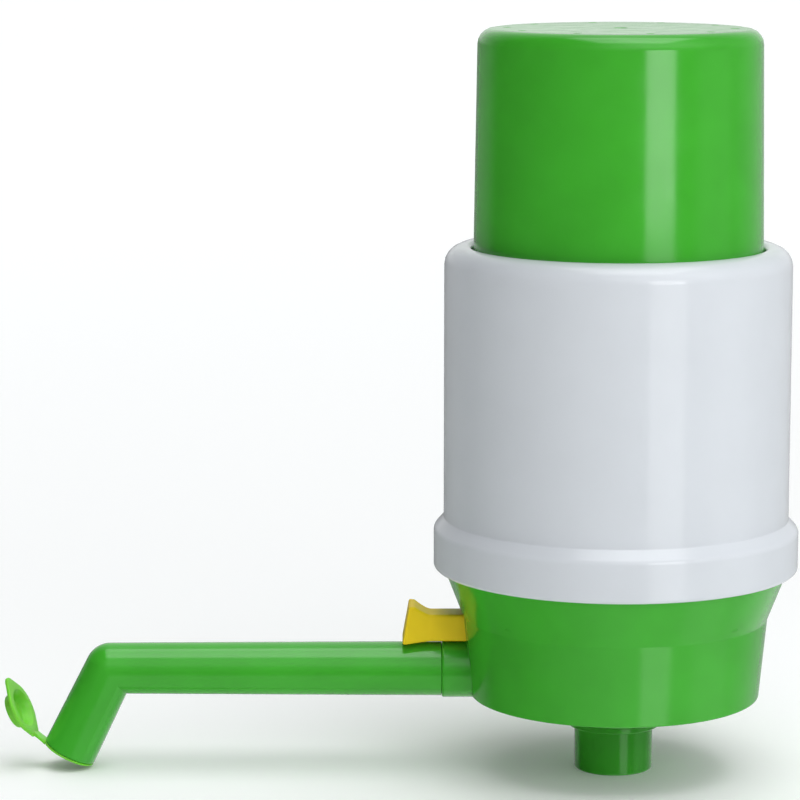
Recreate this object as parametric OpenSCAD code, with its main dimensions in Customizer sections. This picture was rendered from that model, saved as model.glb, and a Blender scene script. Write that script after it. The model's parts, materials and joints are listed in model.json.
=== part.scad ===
// Hand pump for a water jug. The cap is pressed down, the bellows under it blows air into
// the jug, and the water rises through the suction socket and leaves by the spout.
// Millimetres. Z points up, the spout points along -X, and the origin is on the pump's
// vertical axis at the lower face of the suction socket.

/* [Base] */
// Radius of the base at its lower edge
skirt_r = 35; // [33:0.5:38]
// Height of the lower wall, from the lower edge to the crease
crease_h = 19.6; // [18:0.2:26]
// Height of the flare above the crease
flare_h = 11.8; // [9:0.2:16]
// How much the flare widens the base
flare_out = 4.6; // [3:0.1:6]
// Height of the rim that the sleeve sits over
rim_h = 11; // [9:0.5:14]
// Wall of the base
base_wall = 2.3; // [1.8:0.1:2.8]
// Thickness of the floor and of the seat under the valve deck
floor_t = 2; // [1.5:0.1:3]
// Depth of the recess under the floor
floor_recess = 1.2; // [0.8:0.1:2]

/* [Suction socket] */
// How far the socket hangs below the base
socket_drop = 18.6; // [14:0.2:26]
// Outer radius of the socket
socket_r = 9.5; // [8.8:0.1:10.5]
// Radius of the bore for the suction tube
suction_bore_r = 7; // [5:0.1:7.6]
// Depth of the bore for the suction tube
suction_depth = 17; // [12:0.2:17.4]
// Radius of the water way above the suction tube
riser_bore_r = 4.5; // [3.5:0.1:5]

/* [Jug gasket] */
// Distance from the base's inner wall to the gasket that sits on the jug's rim
gasket_rim = 4.2; // [3:0.1:6]
// Width of the gasket
gasket_w = 7; // [5:0.1:7.6]
// Thickness of the gasket
gasket_t = 2; // [1.6:0.1:2.4]

/* [Sleeve] */
// Radius of the sleeve
sleeve_r = 41.55; // [40.5:0.05:44]
// Wall of the sleeve
sleeve_wall = 2.2; // [1.8:0.1:2.6]
// Height of the sleeve, from the lower edge of its band to its crest
sleeve_h = 78.4; // [74:0.2:90]
// Height of the band round the foot of the sleeve
band_h = 12.5; // [12:0.1:16]
// How far the band stands out from the base's rim
band_out = 2.45; // [2.2:0.05:3]
// Width of the sleeve's top, from its outer face in to the opening
crest_w = 6.55; // [6:0.05:7]
// Thickness of the lip round the opening
lip_t = 3.6; // [2.5:0.1:5]
// Rounding of the sleeve's upper edge
crest_fillet = 4.6; // [3:0.1:4.8]

/* [Press cap] */
// How far the cap stands out of the sleeve
cap_out = 51.3; // [49:0.1:60]
// How far the cap can be pressed
stroke = 45; // [30:0.5:47]
// Gap between the cap and the opening that it slides through
cap_play = 0.4; // [0.3:0.05:1.5]
// How much the cap narrows to its top edge
cap_draft = 0.8; // [0.2:0.1:1.5]
// Wall of the cap
cap_wall = 2; // [1.6:0.1:2.4]
// Rounding of the cap's top edge
cap_fillet = 3; // [2:0.1:4]
// Height of the guide collars at the foot of the cap
guide_h = 12.5; // [8:0.5:16]
// Number of air holes in the cap's top
vent_n = 10; // [4:1:14]
// Radius of an air hole
vent_r = 0.9; // [0.5:0.1:1.5]
// Distance from the cap's side in to the middle of the air holes
vent_in = 7.6; // [5:0.1:12]

/* [Bellows] */
// Gap between the folds and the cap around them
fold_play = 3.35; // [2.5:0.05:5]
// Depth of the folds
fold_depth = 5.6; // [4:0.1:6]
// Number of folds
fold_n = 12; // [8:1:15]
// Thickness of the bellows wall, measured along the radius
fold_t = 1.3; // [0.8:0.1:1.5]
// Thickness of the bellows' foot and top
bellows_end_t = 1.2; // [0.8:0.1:2]
// Thickness of the valve deck
deck_t = 2.8; // [2.2:0.1:4]
// Thickness of the seal under the valve deck
deck_seal_t = 1.2; // [0.8:0.1:2]
// Height of the ring that clamps the bellows' foot
clamp_h = 3.6; // [3:0.1:5]
// Thickness of the intake valve's flange
intake_t = 2.5; // [2:0.1:3.5]

/* [Springs] */
// Gap between the return spring and the folds around it
return_play = 2.85; // [1.5:0.05:3.4]
// Radius of the return spring's wire
return_wire_r = 0.9; // [0.6:0.05:1.1]
// Number of open turns of the return spring
return_turns = 11; // [6:1:14]
// Mean radius of the release button's spring
release_coil_r = 2.85; // [2.8:0.05:3]
// Radius of the release spring's wire
release_wire_r = 0.22; // [0.15:0.01:0.28]
// Number of turns of the release spring
release_turns = 4; // [3:1:5]

/* [Spout] */
// Height of the spout's axis above the lower edge of the base
spout_rise = 6; // [5.6:0.1:7]
// Distance from the pump's axis to the spout's elbow
spout_reach = 122.5; // [90:0.5:160]
// Lean of the nozzle from the vertical, in degrees
spout_lean = 26.3; // [15:0.1:40]
// Length of the nozzle along its axis, from the elbow to the mouth
nozzle_len = 23.3; // [19:0.1:23.3]
// Radius of the spout where it leaves the base
spout_root_r = 6.6; // [6.3:0.05:7]
// Radius of the spout at the elbow
spout_elbow_r = 6.2; // [5.8:0.05:6.5]
// Radius of the spout at the mouth
spout_mouth_r = 6.55; // [6.5:0.05:7]
// Radius of the bore of the spout
spout_bore_r = 4.8; // [3.8:0.1:5.1]
// Radius of the bore at the mouth
mouth_bore_r = 5.4; // [5.2:0.05:5.6]
// Radius of the spout's tail in its socket
tail_r = 5.2; // [5:0.05:5.4]
// Radius of the bore of the tail and of the channel behind it
channel_bore_r = 3.3; // [2.5:0.1:3.4]
// How far the face of the spout's socket stands out from the base's lower edge
socket_face = 7; // [5:0.1:10]
// Depth of the spout's socket
socket_depth = 12; // [11:0.1:13]
// Outer radius of the spout's socket
socket_boss_r = 7; // [6.8:0.05:7.2]

/* [Release button] */
// Height of the button's axis above the spout's axis
button_rise = 10.85; // [10.8:0.05:11.5]
// Width of the button's stem
stem_w = 8; // [7:0.1:9]
// Height of the button's stem
stem_h = 6.5; // [6:0.1:6.6]
// Width of the button's head
head_w = 11; // [9:0.1:13]
// How far the head rises above the stem
head_rise = 2.1; // [1:0.1:3]
// How far the head reaches below the stem
head_dip = 0.4; // [0:0.1:0.5]
// Length of the flared head along the button's axis
head_len = 6.7; // [5:0.1:8]
// How far the lower end of the button's outer face stands out from the base's lower edge
button_reach = 16.5; // [15:0.1:21]
// How far the button can be pressed
button_stroke = 3; // [2:0.1:3.2]

/* [Dust cap] */
// Radius of the lid
lid_r = 6.5; // [6.2:0.05:6.8]
// Thickness of the lid
lid_t = 1.2; // [0.8:0.05:1.6]
// Length of the lid's plug
plug_len = 2; // [1.2:0.1:2.4]
// How far the lid's tab stands out
tab_out = 1.8; // [1:0.1:4]
// Width of the strap
strap_w = 4; // [3:0.1:5]
// Thickness of the strap
strap_t = 0.9; // [0.7:0.05:1.2]
// Distance from the mouth's edge out to the line that the lid swings about
hinge_out = 2.1; // [1.8:0.05:2.6]
// Distance of that line below the mouth's face
hinge_drop = 0.9; // [0.7:0.05:1.2]
// Tilt of that line, in degrees, which turns the open lid a little to the front
hinge_tilt = 5; // [0:0.5:8]
// How far the lid stands open, in degrees
lid_open = 218; // [200:1:230]

/* [Fits] */
// Gap between pieces that sit against each other
seat_gap = 0.1; // [0.05:0.05:0.2]
// Radial clearance of a turning fit
turn_fit = 0.05; // [0.02:0.01:0.1]
// Clearance of a sliding fit
slide_gap = 0.4; // [0.3:0.05:0.6]
// Radius of a screw's shank
screw_r = 1.5; // [1.2:0.1:1.6]

/* [Hidden] */
$fn = 96;
eps = 0.01;
far = 60;

green = [0.27, 0.66, 0.20];
white = [0.90, 0.92, 0.93];
yellow = [0.84, 0.76, 0.18];
light_green = [0.52, 0.80, 0.40];
rubber = [0.16, 0.16, 0.17];
steel = [0.70, 0.71, 0.73];
natural = [0.93, 0.93, 0.88];

// Radii that follow one another from the sleeve inwards
opening_r = sleeve_r - crest_w;
cap_r = opening_r - cap_play;
vent_ring_r = cap_r - vent_in;
fold_out_r = cap_r - cap_wall - fold_play - fold_t / 2;
fold_in_r = fold_out_r - fold_depth;
return_coil_r = fold_in_r - fold_t / 2 - return_play - return_wire_r;

// Heights, from the lower face of the suction socket upwards
z_skirt = socket_drop;
z_floor = z_skirt + floor_recess;
z_axis = z_skirt + spout_rise;
z_crease = z_skirt + crease_h;
z_band = z_crease + flare_h;
z_rim = z_band + rim_h;
ledge_drop = 4;
z_ledge = z_band - ledge_drop;
z_deck = z_ledge + deck_seal_t;
z_deck_top = z_deck + deck_t;
z_crest = z_band + sleeve_h;
z_top = z_crest + cap_out;
lip_round = 1.2;
lip_inset = 0.35;
stop_play = 0.3;
z_lip = z_crest - lip_t;
z_stop = z_lip - stop_play;

// Radii of the base, from the sleeve that sits over its rim down to the lower edge
rim_set = 0.05;
rim_wall = 2.1;
ledge_in = 0.85;
rim_r = sleeve_r - rim_set;
crease_r = rim_r - flare_out;
rim_in_r = rim_r - rim_wall;
ledge_r = crease_r + flare_out * (z_ledge - z_crease) / flare_h - base_wall - ledge_in;
function skirt_r_at(z) = skirt_r + (crease_r - skirt_r) * (z - z_skirt) / crease_h;

// Points of an arc, in degrees, about a centre
function arc(cx, cy, r, from, to, n = 6) =
    [for (i = [0:n]) let (a = from + (to - from) * i / n) [cx + r * cos(a), cy + r * sin(a)]];

// Snap bead on the base's rim and its groove in the sleeve
bead_out = 0.5;
bead_h = 1.6;
z_bead = z_band + rim_h / 2;

// Suction connector and its collar under the floor
collar_wall = 2.6;
collar_r = socket_r + turn_fit + collar_wall;
collar_h = 6.2;
z_collar = z_skirt - collar_h;
shelf_t = 1.5;
shelf_out = 1.6;
shelf_r = socket_r + shelf_out;
connector_top = z_floor - seat_gap;
ring_rise = 3.4;
ring_z = z_collar + ring_rise;
ring_wire_r = 0.6;
ring_groove_r = socket_r - 2 * ring_wire_r;

// Water channel from the riser to the spout's socket
channel_r = z_axis - z_floor;
riser_wall = 2.6;
riser_r = riser_bore_r + riser_wall;
socket_x = skirt_r + socket_face;
socket_in = socket_x - socket_depth;
socket_bore_r = tail_r + turn_fit;
boss_chamfer = 0.9;

// Air ports through the floor
port_r = 2.2;
port_edge = 1.65;
port_ring_r = collar_r + port_edge + port_r;
port_n = 4;

// Jug gasket
gasket_out_r = skirt_r - base_wall - gasket_rim;
gasket_in_r = gasket_out_r - gasket_w;
gasket_rib_t = 1;
gasket_play = 0.2;

// Screws that hold the deck
deck_screw_n = 4;
deck_screw_head_r = 2.75;
deck_screw_in = 4.5;
deck_screw_ring_r = rim_in_r - deck_screw_in;
deck_boss_r = 3;
deck_boss_h = 6;
blind_end = 2;
deck_screw_len = clamp_h + deck_t + deck_seal_t + deck_boss_h - blind_end;
screw_head_h = 1.8;
screw_play = 0.2;
screw_bite = 0.05;

// Bellows, between the deck and the cap
z_cap_in = z_top - cap_wall;
cap_boss_h = 3;
z_bellows_top = z_cap_in - cap_boss_h;
bellows_neck_r = 8.1;
foot_edge = 0.8;
foot_r = deck_screw_ring_r - screw_r - screw_play - foot_edge;
foot_play = 0.3;
clamp_fold_play = 0.5;
clamp_rim_play = 0.8;
clamp_in_r = fold_out_r + fold_t / 2 + clamp_fold_play;
clamp_out_r = rim_in_r - clamp_rim_play;
z_fold_0 = z_deck_top + bellows_end_t;
z_fold_1 = z_bellows_top - bellows_end_t;
fold_pitch = (z_fold_1 - z_fold_0) / (fold_n - 0.5);

// Intake valve in the bellows' top
z_intake = z_bellows_top - bellows_end_t - intake_t;
intake_play = 0.8;
hub_play = 0.2;
hub_out = 1.3;
intake_r = fold_in_r - fold_t / 2 - intake_play;
intake_hub_r = bellows_neck_r - hub_play;
intake_hub_h = intake_t + bellows_end_t + hub_out;
head_screw_n = 3;
head_screw_ring_r = 12;
head_boss_r = 3.2;
head_blind_end = 0.7;
head_screw_len = intake_t + bellows_end_t + cap_boss_h - head_blind_end;

// Rubber valves
flap_r = 11;
flap_t = 1.1;
flap_stem_r = 1.7;
flap_bulb_r = 2.5;
flap_hole_r = flap_stem_r + seat_gap;
flap_port_r = 1.8;
flap_port_ring = 7.2;
flap_port_n = 6;
intake_flap_r = 7.4;
intake_port_r = 1.25;
intake_port_ring = 4.7;

// Coils of round wire, as rings along each turn and sides round the wire
coil_rings = 8;
coil_sides = 6;

// Locating rings that the return spring fits over, clear of the flats between its rings
spring_ring_play = 0.3;
spring_ring_r = return_coil_r * cos(180 / coil_rings) - return_wire_r - spring_ring_play;
spring_ring_t = 1;
spring_ring_h = 2;

// Sleeve
sleeve_in_r = sleeve_r - sleeve_wall;
rim_play = 0.3;
band_r = rim_r + band_out;
band_in_r = rim_r + rim_play;
z_step = z_rim + rim_play;
band_round = 1;
z_shoulder = z_band + band_h;
shoulder_h = 3.5;
shoulder_round = 2;
shoulder_turn = 38;
shoulder_toe = [0.25, 0.35];

// Cap
guide_r = sleeve_in_r - slide_gap;
collar_t = 2.4;
z_guide = z_stop - guide_h;
gusset_n = 12;
gusset_t = 1.2;
cap_rib_n = 5;
cap_rib_t = 1.2;
cap_rib_len = 11.6;
cap_rib_in_r = fold_out_r - cap_rib_len;
gate_r = 1.6;
gate_depth = 0.25;
first_vent = -79;
function cap_r_at(z) = cap_r - cap_draft * (z - z_lip) / (z_top - cap_fillet - z_lip);

// Release button and the valve behind it, measured along the button's axis
z_button = z_axis + button_rise;
button_x = skirt_r + button_reach;
flare_x = button_x - head_len;
stem_set = 1.5;
stem_x = skirt_r - stem_set;
release_pitch = 1.3;
release_play = 0.3;
seat_x = stem_x - release_turns * release_pitch - release_play;
seat_t = 2;
seat_in_x = seat_x - seat_t;
stem_gap = 0.25;
block_wall = 1.9;
block_inset = 0.3;
valve_pin_r = 1.8;
valve_hole_r = 2.5;
release_seal_r = 4.4;
release_seal_t = 1.5;
release_washer_r = 3.8;
release_washer_t = 0.8;
release_clip_t = 0.5;
release_clip_r = 3;
release_groove_r = 1.3;
pin_spare = 1.2;
clip_x = seat_in_x - 2 * seat_gap - release_seal_t - release_washer_t;
pin_end_x = clip_x - release_clip_t - pin_spare;
head_face_tilt = 1.5;
head_tip = 0.7;
head_crest = 1.4;

// Spout tail, its rings and the fork that holds it
tail_gap = 0.2;
tail_play = 0.3;
tail_end = socket_in + tail_play;
oring_r = 0.55;
oring_groove_r = tail_r - 2 * oring_r - seat_gap;
oring_groove_w = 1.4;
oring_in = [2.4, 5];
oring_x = [for (d = oring_in) socket_x - d];
fork_in = 4;
fork_x = socket_in + fork_in;
fork_t = 1.2;
fork_slot_t = 1.5;
fork_groove_t = 1.4;
fork_groove_depth = 0.9;
fork_groove_r = tail_r - fork_groove_depth;
fork_leg_w = 1.3;
fork_in_r = fork_groove_r + turn_fit;
fork_out = fork_in_r + fork_leg_w;
fork_grip = 0.8;
fork_drop = z_axis - z_skirt + fork_grip;
fork_top = 2.7;
fork_play = 0.2;

// How far the ball at the elbow stands proud of the tubes that meet there
elbow_swell = 0.08;

// Length of the narrow bore past the spout's root, and of the wide bore inside its mouth
neck_len = 4;
mouth_bore_len = 13.65;

// Mouth of the spout: local x runs across the mouth to the lid's hinge, local z out of it
mouth_x = -spout_reach - nozzle_len * sin(spout_lean);
mouth_z = z_axis - nozzle_len * cos(spout_lean);
liner_flange_t = 0.5;
liner_t = 0.4;
liner_len = 2.6;
liner_r = mouth_bore_r - turn_fit;
lid_gap = 0.2;
plug_play = 0.15;
plug_r = liner_r - liner_t - plug_play;
plug_taper = 0.4;
plug_wall = 0.65;
hinge_x = spout_mouth_r + hinge_out;
lid_z = liner_flange_t + lid_gap;

// Ends of the strap, across and out of the mouth: the second is the open lid's near edge
strap_root = 0.35;
strap_pull = 0.25;
strap_from = [spout_mouth_r + strap_root, liner_flange_t / 2];
lid_edge = [lid_r - hinge_x, lid_z + lid_t / 2 - hinge_drop];
strap_edge = [
    hinge_x + lid_edge[0] * cos(lid_open) + lid_edge[1] * sin(lid_open),
    hinge_drop - lid_edge[0] * sin(lid_open) + lid_edge[1] * cos(lid_open)
];

// Direction of the lid's hinge line in the mouth's frame and in the pump's frame
hinge_local = [0, -cos(hinge_tilt), sin(hinge_tilt)];
mouth_turn = 180 + spout_lean;
hinge_axis = [
    hinge_local[2] * sin(mouth_turn),
    hinge_local[1],
    hinge_local[2] * cos(mouth_turn)
];
hinge_pos = [
    mouth_x + hinge_x * cos(mouth_turn) + hinge_drop * sin(mouth_turn),
    0,
    mouth_z - hinge_x * sin(mouth_turn) + hinge_drop * cos(mouth_turn)
];

// Places children along the spout's axis: local z runs out along -X from the pump's axis
module along_spout(height) {
    translate([0, 0, height]) rotate([0, -90, 0]) children();
}

// Places children in the frame of the spout's mouth
module at_mouth() {
    translate([mouth_x, 0, mouth_z]) rotate([0, mouth_turn, 0]) children();
}

// Swings children from the closed place on the mouth to the open one
module opened() {
    translate([hinge_x, 0, hinge_drop])
        rotate(a = -lid_open, v = hinge_local)
            translate([-hinge_x, 0, -hinge_drop])
                children();
}

// Places one copy of the children at each of n even steps round the Z axis
module around(n, radius, first = 0) {
    for (i = [0:n - 1])
        rotate([0, 0, first + 360 * i / n]) translate([radius, 0, 0]) children();
}

module ring(r_in, r_out, h) {
    difference() {
        cylinder(r = r_out, h = h);
        translate([0, 0, -1]) cylinder(r = r_in, h = h + 2);
    }
}

// A pan-head screw that points down, with its head's seat at height zero
module screw(length) {
    difference() {
        union() {
            rotate_extrude() polygon(concat(
                [[0, 0], [deck_screw_head_r, 0], [deck_screw_head_r, 0.6]],
                arc(deck_screw_head_r - 1.1, screw_head_h - 1.1, 1.1, 20, 90, 5),
                [[0, screw_head_h]]
            ));
            translate([0, 0, -length]) cylinder(r = screw_r, h = length + eps);
        }
        for (turn = [0, 90])
            rotate([0, 0, turn])
                translate([-1.6, -0.35, screw_head_h - 1]) cube([3.2, 0.7, 2]);
    }
}

// An umbrella valve of soft rubber that hangs below height zero, with its stem pointing up
module umbrella(radius, stem_len) {
    rotate_extrude() polygon([
        [0, -flap_t],
        [radius * 0.3, -flap_t],
        [radius * 0.75, -flap_t * 0.8],
        [radius, -flap_t * 0.45],
        [radius, -0.05],
        [flap_stem_r, -0.05],
        [flap_stem_r, stem_len + 0.1],
        [flap_bulb_r, stem_len + 0.4],
        [flap_bulb_r * 0.6, stem_len + 1.4],
        [0, stem_len + 1.5]
    ]);
}

// Points of a coil about the Z axis: the ends are closed turns with a small gap
function coil_turn_z(t, turns, end_pitch, pitch) =
    t < 1 ? t * end_pitch :
    t < turns + 1 ? end_pitch + (t - 1) * pitch :
    end_pitch + turns * pitch + (t - turns - 1) * end_pitch;
function coil_path(r, z0, length, turns, end_pitch) =
    let (pitch = (length - 2 * end_pitch) / turns)
    [for (i = [0:(turns + 2) * coil_rings])
        let (t = i / coil_rings)
        [r * cos(360 * t), r * sin(360 * t), z0 + coil_turn_z(t, turns, end_pitch, pitch)]];

// Least distance between points of a coil that are more than half a turn apart
function coil_gap(path, wire_r) =
    min([for (i = [0:len(path) - 1 - coil_rings])
        for (j = [i + coil_rings / 2:min(len(path) - 1, i + 2 * coil_rings)])
            norm(path[j] - path[i])]) - 2 * wire_r;

// One unbroken tube of round wire along a coil's points
module coil(path, wire_r) {
    n = len(path);
    points = [for (p = path) for (k = [0:coil_sides - 1])
        let (a = 360 * k / coil_sides, out = [p[0], p[1], 0] / norm([p[0], p[1]]))
        p + wire_r * (cos(a) * out + sin(a) * [0, 0, 1])];
    walls = [for (i = [0:n - 2]) for (k = [0:coil_sides - 1])
        let (a = i * coil_sides + k, b = i * coil_sides + (k + 1) % coil_sides)
        each [[a, b, b + coil_sides], [a, b + coil_sides, a + coil_sides]]];
    start = [for (k = [1:coil_sides - 2]) [0, k + 1, k]];
    last = (n - 1) * coil_sides;
    end = [for (k = [1:coil_sides - 2]) [last, last + k, last + k + 1]];
    polyhedron(points = points, faces = concat(walls, start, end), convexity = 10);
}

module base_shell() {
    edge = 0.4;
    lead = 0.7;
    rotate_extrude() polygon([
        [0, z_floor],
        [skirt_r - base_wall, z_floor],
        [skirt_r - base_wall, z_skirt],
        [skirt_r - edge, z_skirt],
        [skirt_r, z_skirt + edge],
        [crease_r, z_crease],
        [rim_r, z_band],
        [rim_r, z_bead - bead_h / 2],
        [rim_r + bead_out, z_bead],
        [rim_r, z_bead + bead_h / 2],
        [rim_r, z_rim - lead],
        [rim_r - lead, z_rim],
        [rim_in_r, z_rim],
        [rim_in_r, z_ledge],
        [ledge_r, z_ledge],
        [crease_r - base_wall, z_crease],
        [skirt_r - base_wall, z_floor + floor_t + 1],
        [skirt_r - base_wall - 1, z_floor + floor_t],
        [0, z_floor + floor_t]
    ]);
}

// Pillars inside the wall that take the deck's screws, kept within the wall's outer face
module screw_bosses() {
    intersection() {
        around(deck_screw_n, deck_screw_ring_r, 45)
            translate([0, 0, z_ledge - deck_boss_h]) cylinder(r = deck_boss_r, h = deck_boss_h);
        translate([0, 0, z_crease])
            cylinder(r1 = crease_r - base_wall / 2, r2 = rim_r - base_wall / 2, h = flare_h);
    }
}

// The block behind the button: a square guide, and a seat with a round hole at its inner end
module release_block() {
    outer_x = skirt_r_at(z_button) - base_wall / 2 - block_inset;
    half_w = stem_w / 2 + stem_gap + block_wall;
    low = z_axis + channel_bore_r;
    high = z_button + stem_h / 2 + stem_gap + block_wall;
    translate([-outer_x, -half_w, low]) cube([outer_x - seat_in_x, 2 * half_w, high - low]);
}

module release_cuts() {
    half_w = stem_w / 2 + stem_gap;
    half_h = stem_h / 2 + stem_gap;
    translate([-far, -half_w, z_button - half_h]) cube([far - seat_x, 2 * half_w, 2 * half_h]);
    along_spout(z_button) translate([0, 0, seat_in_x - 1]) cylinder(r = valve_hole_r, h = seat_t + 2);
}

module base_body() {
    color(green) difference() {
        union() {
            base_shell();
            translate([0, 0, z_collar]) cylinder(r = collar_r, h = z_floor + floor_t - z_collar);
            translate([0, 0, z_floor]) cylinder(r = riser_r, h = z_axis + channel_r - z_floor);
            along_spout(z_axis) cylinder(r = channel_r, h = socket_in + 1);
            along_spout(z_axis) translate([0, 0, socket_in - 1.5]) {
                cylinder(r = socket_boss_r, h = socket_depth + 1.5 - boss_chamfer);
                translate([0, 0, socket_depth + 1.5 - boss_chamfer])
                    cylinder(r1 = socket_boss_r, r2 = socket_boss_r - boss_chamfer, h = boss_chamfer);
            }
            release_block();
            screw_bosses();
            for (r = [gasket_in_r - gasket_play - gasket_rib_t, gasket_out_r + gasket_play])
                translate([0, 0, z_skirt]) ring(r, r + gasket_rib_t, floor_recess + eps);
        }
        translate([0, 0, z_collar - 1]) cylinder(r = socket_r + turn_fit, h = z_floor - z_collar + 1);
        translate([0, 0, z_floor - 1]) cylinder(r = riser_bore_r, h = z_axis + channel_bore_r - z_floor + 1);
        along_spout(z_axis) cylinder(r = channel_bore_r, h = socket_x + 1);
        along_spout(z_axis) translate([0, 0, socket_in]) cylinder(r = socket_bore_r, h = socket_depth + 1);
        translate([-fork_x - fork_slot_t / 2, -fork_out - fork_play, z_axis - fork_drop - 1])
            cube([fork_slot_t, 2 * (fork_out + fork_play), fork_drop + 1 + fork_top + fork_play]);
        release_cuts();
        around(deck_screw_n, deck_screw_ring_r, 45)
            translate([0, 0, z_ledge - deck_boss_h + 1]) cylinder(r = screw_r + screw_bite, h = deck_boss_h);
        around(port_n, port_ring_r, 45)
            translate([0, 0, z_floor - 1]) cylinder(r = port_r, h = floor_t + 2);
    }
}

module suction_connector() {
    color(green) difference() {
        union() {
            cylinder(r = socket_r, h = connector_top);
            translate([0, 0, z_collar - seat_gap - shelf_t]) cylinder(r = shelf_r, h = shelf_t);
        }
        translate([0, 0, -1]) cylinder(r = suction_bore_r, h = suction_depth + 1);
        translate([0, 0, suction_depth - 1]) cylinder(r = riser_bore_r, h = far);
        translate([0, 0, ring_z - ring_wire_r - 0.1]) ring(ring_groove_r, socket_r + 1, 2 * ring_wire_r + 0.2);
    }
}

module connector_o_ring() {
    color(rubber) translate([0, 0, ring_z])
        rotate_extrude() translate([ring_groove_r + ring_wire_r + 0.02, 0]) circle(r = ring_wire_r, $fn = 24);
}

module jug_gasket() {
    edge = 0.3;
    color(rubber) translate([0, 0, z_floor - seat_gap / 2 - gasket_t]) rotate_extrude() polygon([
        [gasket_in_r, edge],
        [gasket_in_r + edge, 0],
        [gasket_out_r - edge, 0],
        [gasket_out_r, edge],
        [gasket_out_r, gasket_t],
        [gasket_in_r, gasket_t]
    ]);
}

module deck_seal() {
    color(rubber) translate([0, 0, z_ledge + seat_gap / 2]) difference() {
        union() {
            ring(ledge_r + 0.2, rim_in_r - 0.4, deck_seal_t - seat_gap);
            around(deck_screw_n, deck_screw_ring_r, 45) cylinder(r = deck_boss_r - 0.2, h = deck_seal_t - seat_gap);
        }
        around(deck_screw_n, deck_screw_ring_r, 45)
            translate([0, 0, -1]) cylinder(r = screw_r + screw_play, h = deck_seal_t + 2);
    }
}

module valve_deck() {
    rib_h = 2.4;
    rib_t = 1.2;
    rib_in_r = flap_r + 2;
    rib_out_r = ledge_r - 5.5;
    color(white) difference() {
        union() {
            translate([0, 0, z_deck]) cylinder(r = rim_in_r - 0.4, h = deck_t);
            translate([0, 0, z_deck_top - eps])
                ring(spring_ring_r - spring_ring_t, spring_ring_r, spring_ring_h + eps);
            for (i = [0:5])
                rotate([0, 0, 15 + 60 * i]) translate([rib_in_r, -rib_t / 2, z_deck - rib_h])
                    cube([rib_out_r - rib_in_r, rib_t, rib_h + eps]);
        }
        translate([0, 0, z_deck - 1]) cylinder(r = flap_hole_r, h = deck_t + 2);
        around(flap_port_n, flap_port_ring)
            translate([0, 0, z_deck - 1]) cylinder(r = flap_port_r, h = deck_t + 2);
        around(deck_screw_n, deck_screw_ring_r, 45)
            translate([0, 0, z_deck - 1]) cylinder(r = screw_r + screw_play, h = deck_t + 2);
    }
}

module outlet_flap() {
    color(rubber) translate([0, 0, z_deck]) umbrella(flap_r, deck_t);
}

module bellows_clamp() {
    color(white) difference() {
        translate([0, 0, z_deck_top]) rotate_extrude() polygon([
            [foot_r + foot_play, 0],
            [clamp_out_r, 0],
            [clamp_out_r, clamp_h - 0.6],
            [clamp_out_r - 0.6, clamp_h],
            [clamp_in_r + 0.4, clamp_h],
            [clamp_in_r, clamp_h - 0.4],
            [clamp_in_r, bellows_end_t + seat_gap],
            [foot_r + foot_play, bellows_end_t + seat_gap]
        ]);
        around(deck_screw_n, deck_screw_ring_r, 45)
            translate([0, 0, z_deck_top - 1]) cylinder(r = screw_r + screw_play, h = clamp_h + 2);
    }
}

module deck_screws() {
    color(steel) around(deck_screw_n, deck_screw_ring_r, 45)
        translate([0, 0, z_deck_top + clamp_h]) screw(deck_screw_len);
}

// The folds are a zigzag line carried round the axis, with a flat foot and a closed top
module bellows() {
    half = fold_t / 2;
    zigzag = [for (i = [0:2 * fold_n - 1])
        [i % 2 == 0 ? fold_in_r : fold_out_r, z_fold_0 + i * fold_pitch / 2]];
    top = len(zigzag) - 1;
    outside = [for (i = [0:top]) zigzag[i] + [half, 0]];
    inside = [for (i = [top:-1:0]) zigzag[i] - [half, 0]];
    color(natural) difference() {
        rotate_extrude() polygon(concat(
            [[fold_in_r - half, z_deck_top + 0.02], [foot_r, z_deck_top + 0.02], [foot_r, z_fold_0]],
            outside,
            [[fold_out_r, z_bellows_top], [bellows_neck_r, z_bellows_top], [bellows_neck_r, z_fold_1]],
            inside
        ));
        around(head_screw_n, head_screw_ring_r, 30)
            translate([0, 0, z_fold_1 - 1]) cylinder(r = screw_r + screw_play, h = bellows_end_t + 2);
    }
}

return_path = coil_path(return_coil_r, z_deck_top + return_wire_r + 0.1,
    z_intake - z_deck_top - 2 * return_wire_r - 0.2, return_turns, 2 * return_wire_r + 0.6);

module return_spring() {
    echo(return_spring_gap = coil_gap(return_path, return_wire_r));
    color(steel) coil(return_path, return_wire_r);
}

module outer_sleeve() {
    z_fillet = z_crest - crest_fillet;
    slope_r = sleeve_r - crest_fillet;
    color(white) rotate_extrude() polygon(concat(
        [[band_in_r, z_band], [band_r - band_round, z_band]],
        arc(band_r - band_round, z_band + band_round, band_round, -90, 0, 4),
        arc(band_r - shoulder_round, z_shoulder - shoulder_h, shoulder_round, 0, shoulder_turn, 4),
        [[sleeve_r + shoulder_toe[0], z_shoulder - shoulder_toe[1]], [sleeve_r, z_shoulder]],
        arc(slope_r, z_fillet, crest_fillet, 0, 84, 8),
        arc(opening_r + lip_round, z_crest - lip_round - lip_inset, lip_round, 85, 180, 5),
        [[opening_r, z_lip], [sleeve_in_r, z_lip], [sleeve_in_r, z_step], [band_in_r, z_step]],
        [
            [band_in_r, z_bead + bead_h / 2 + rim_play],
            [band_in_r + bead_out, z_bead + rim_play],
            [band_in_r + bead_out, z_bead - rim_play],
            [band_in_r, z_bead - bead_h / 2 - rim_play]
        ]
    ));
}

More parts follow.
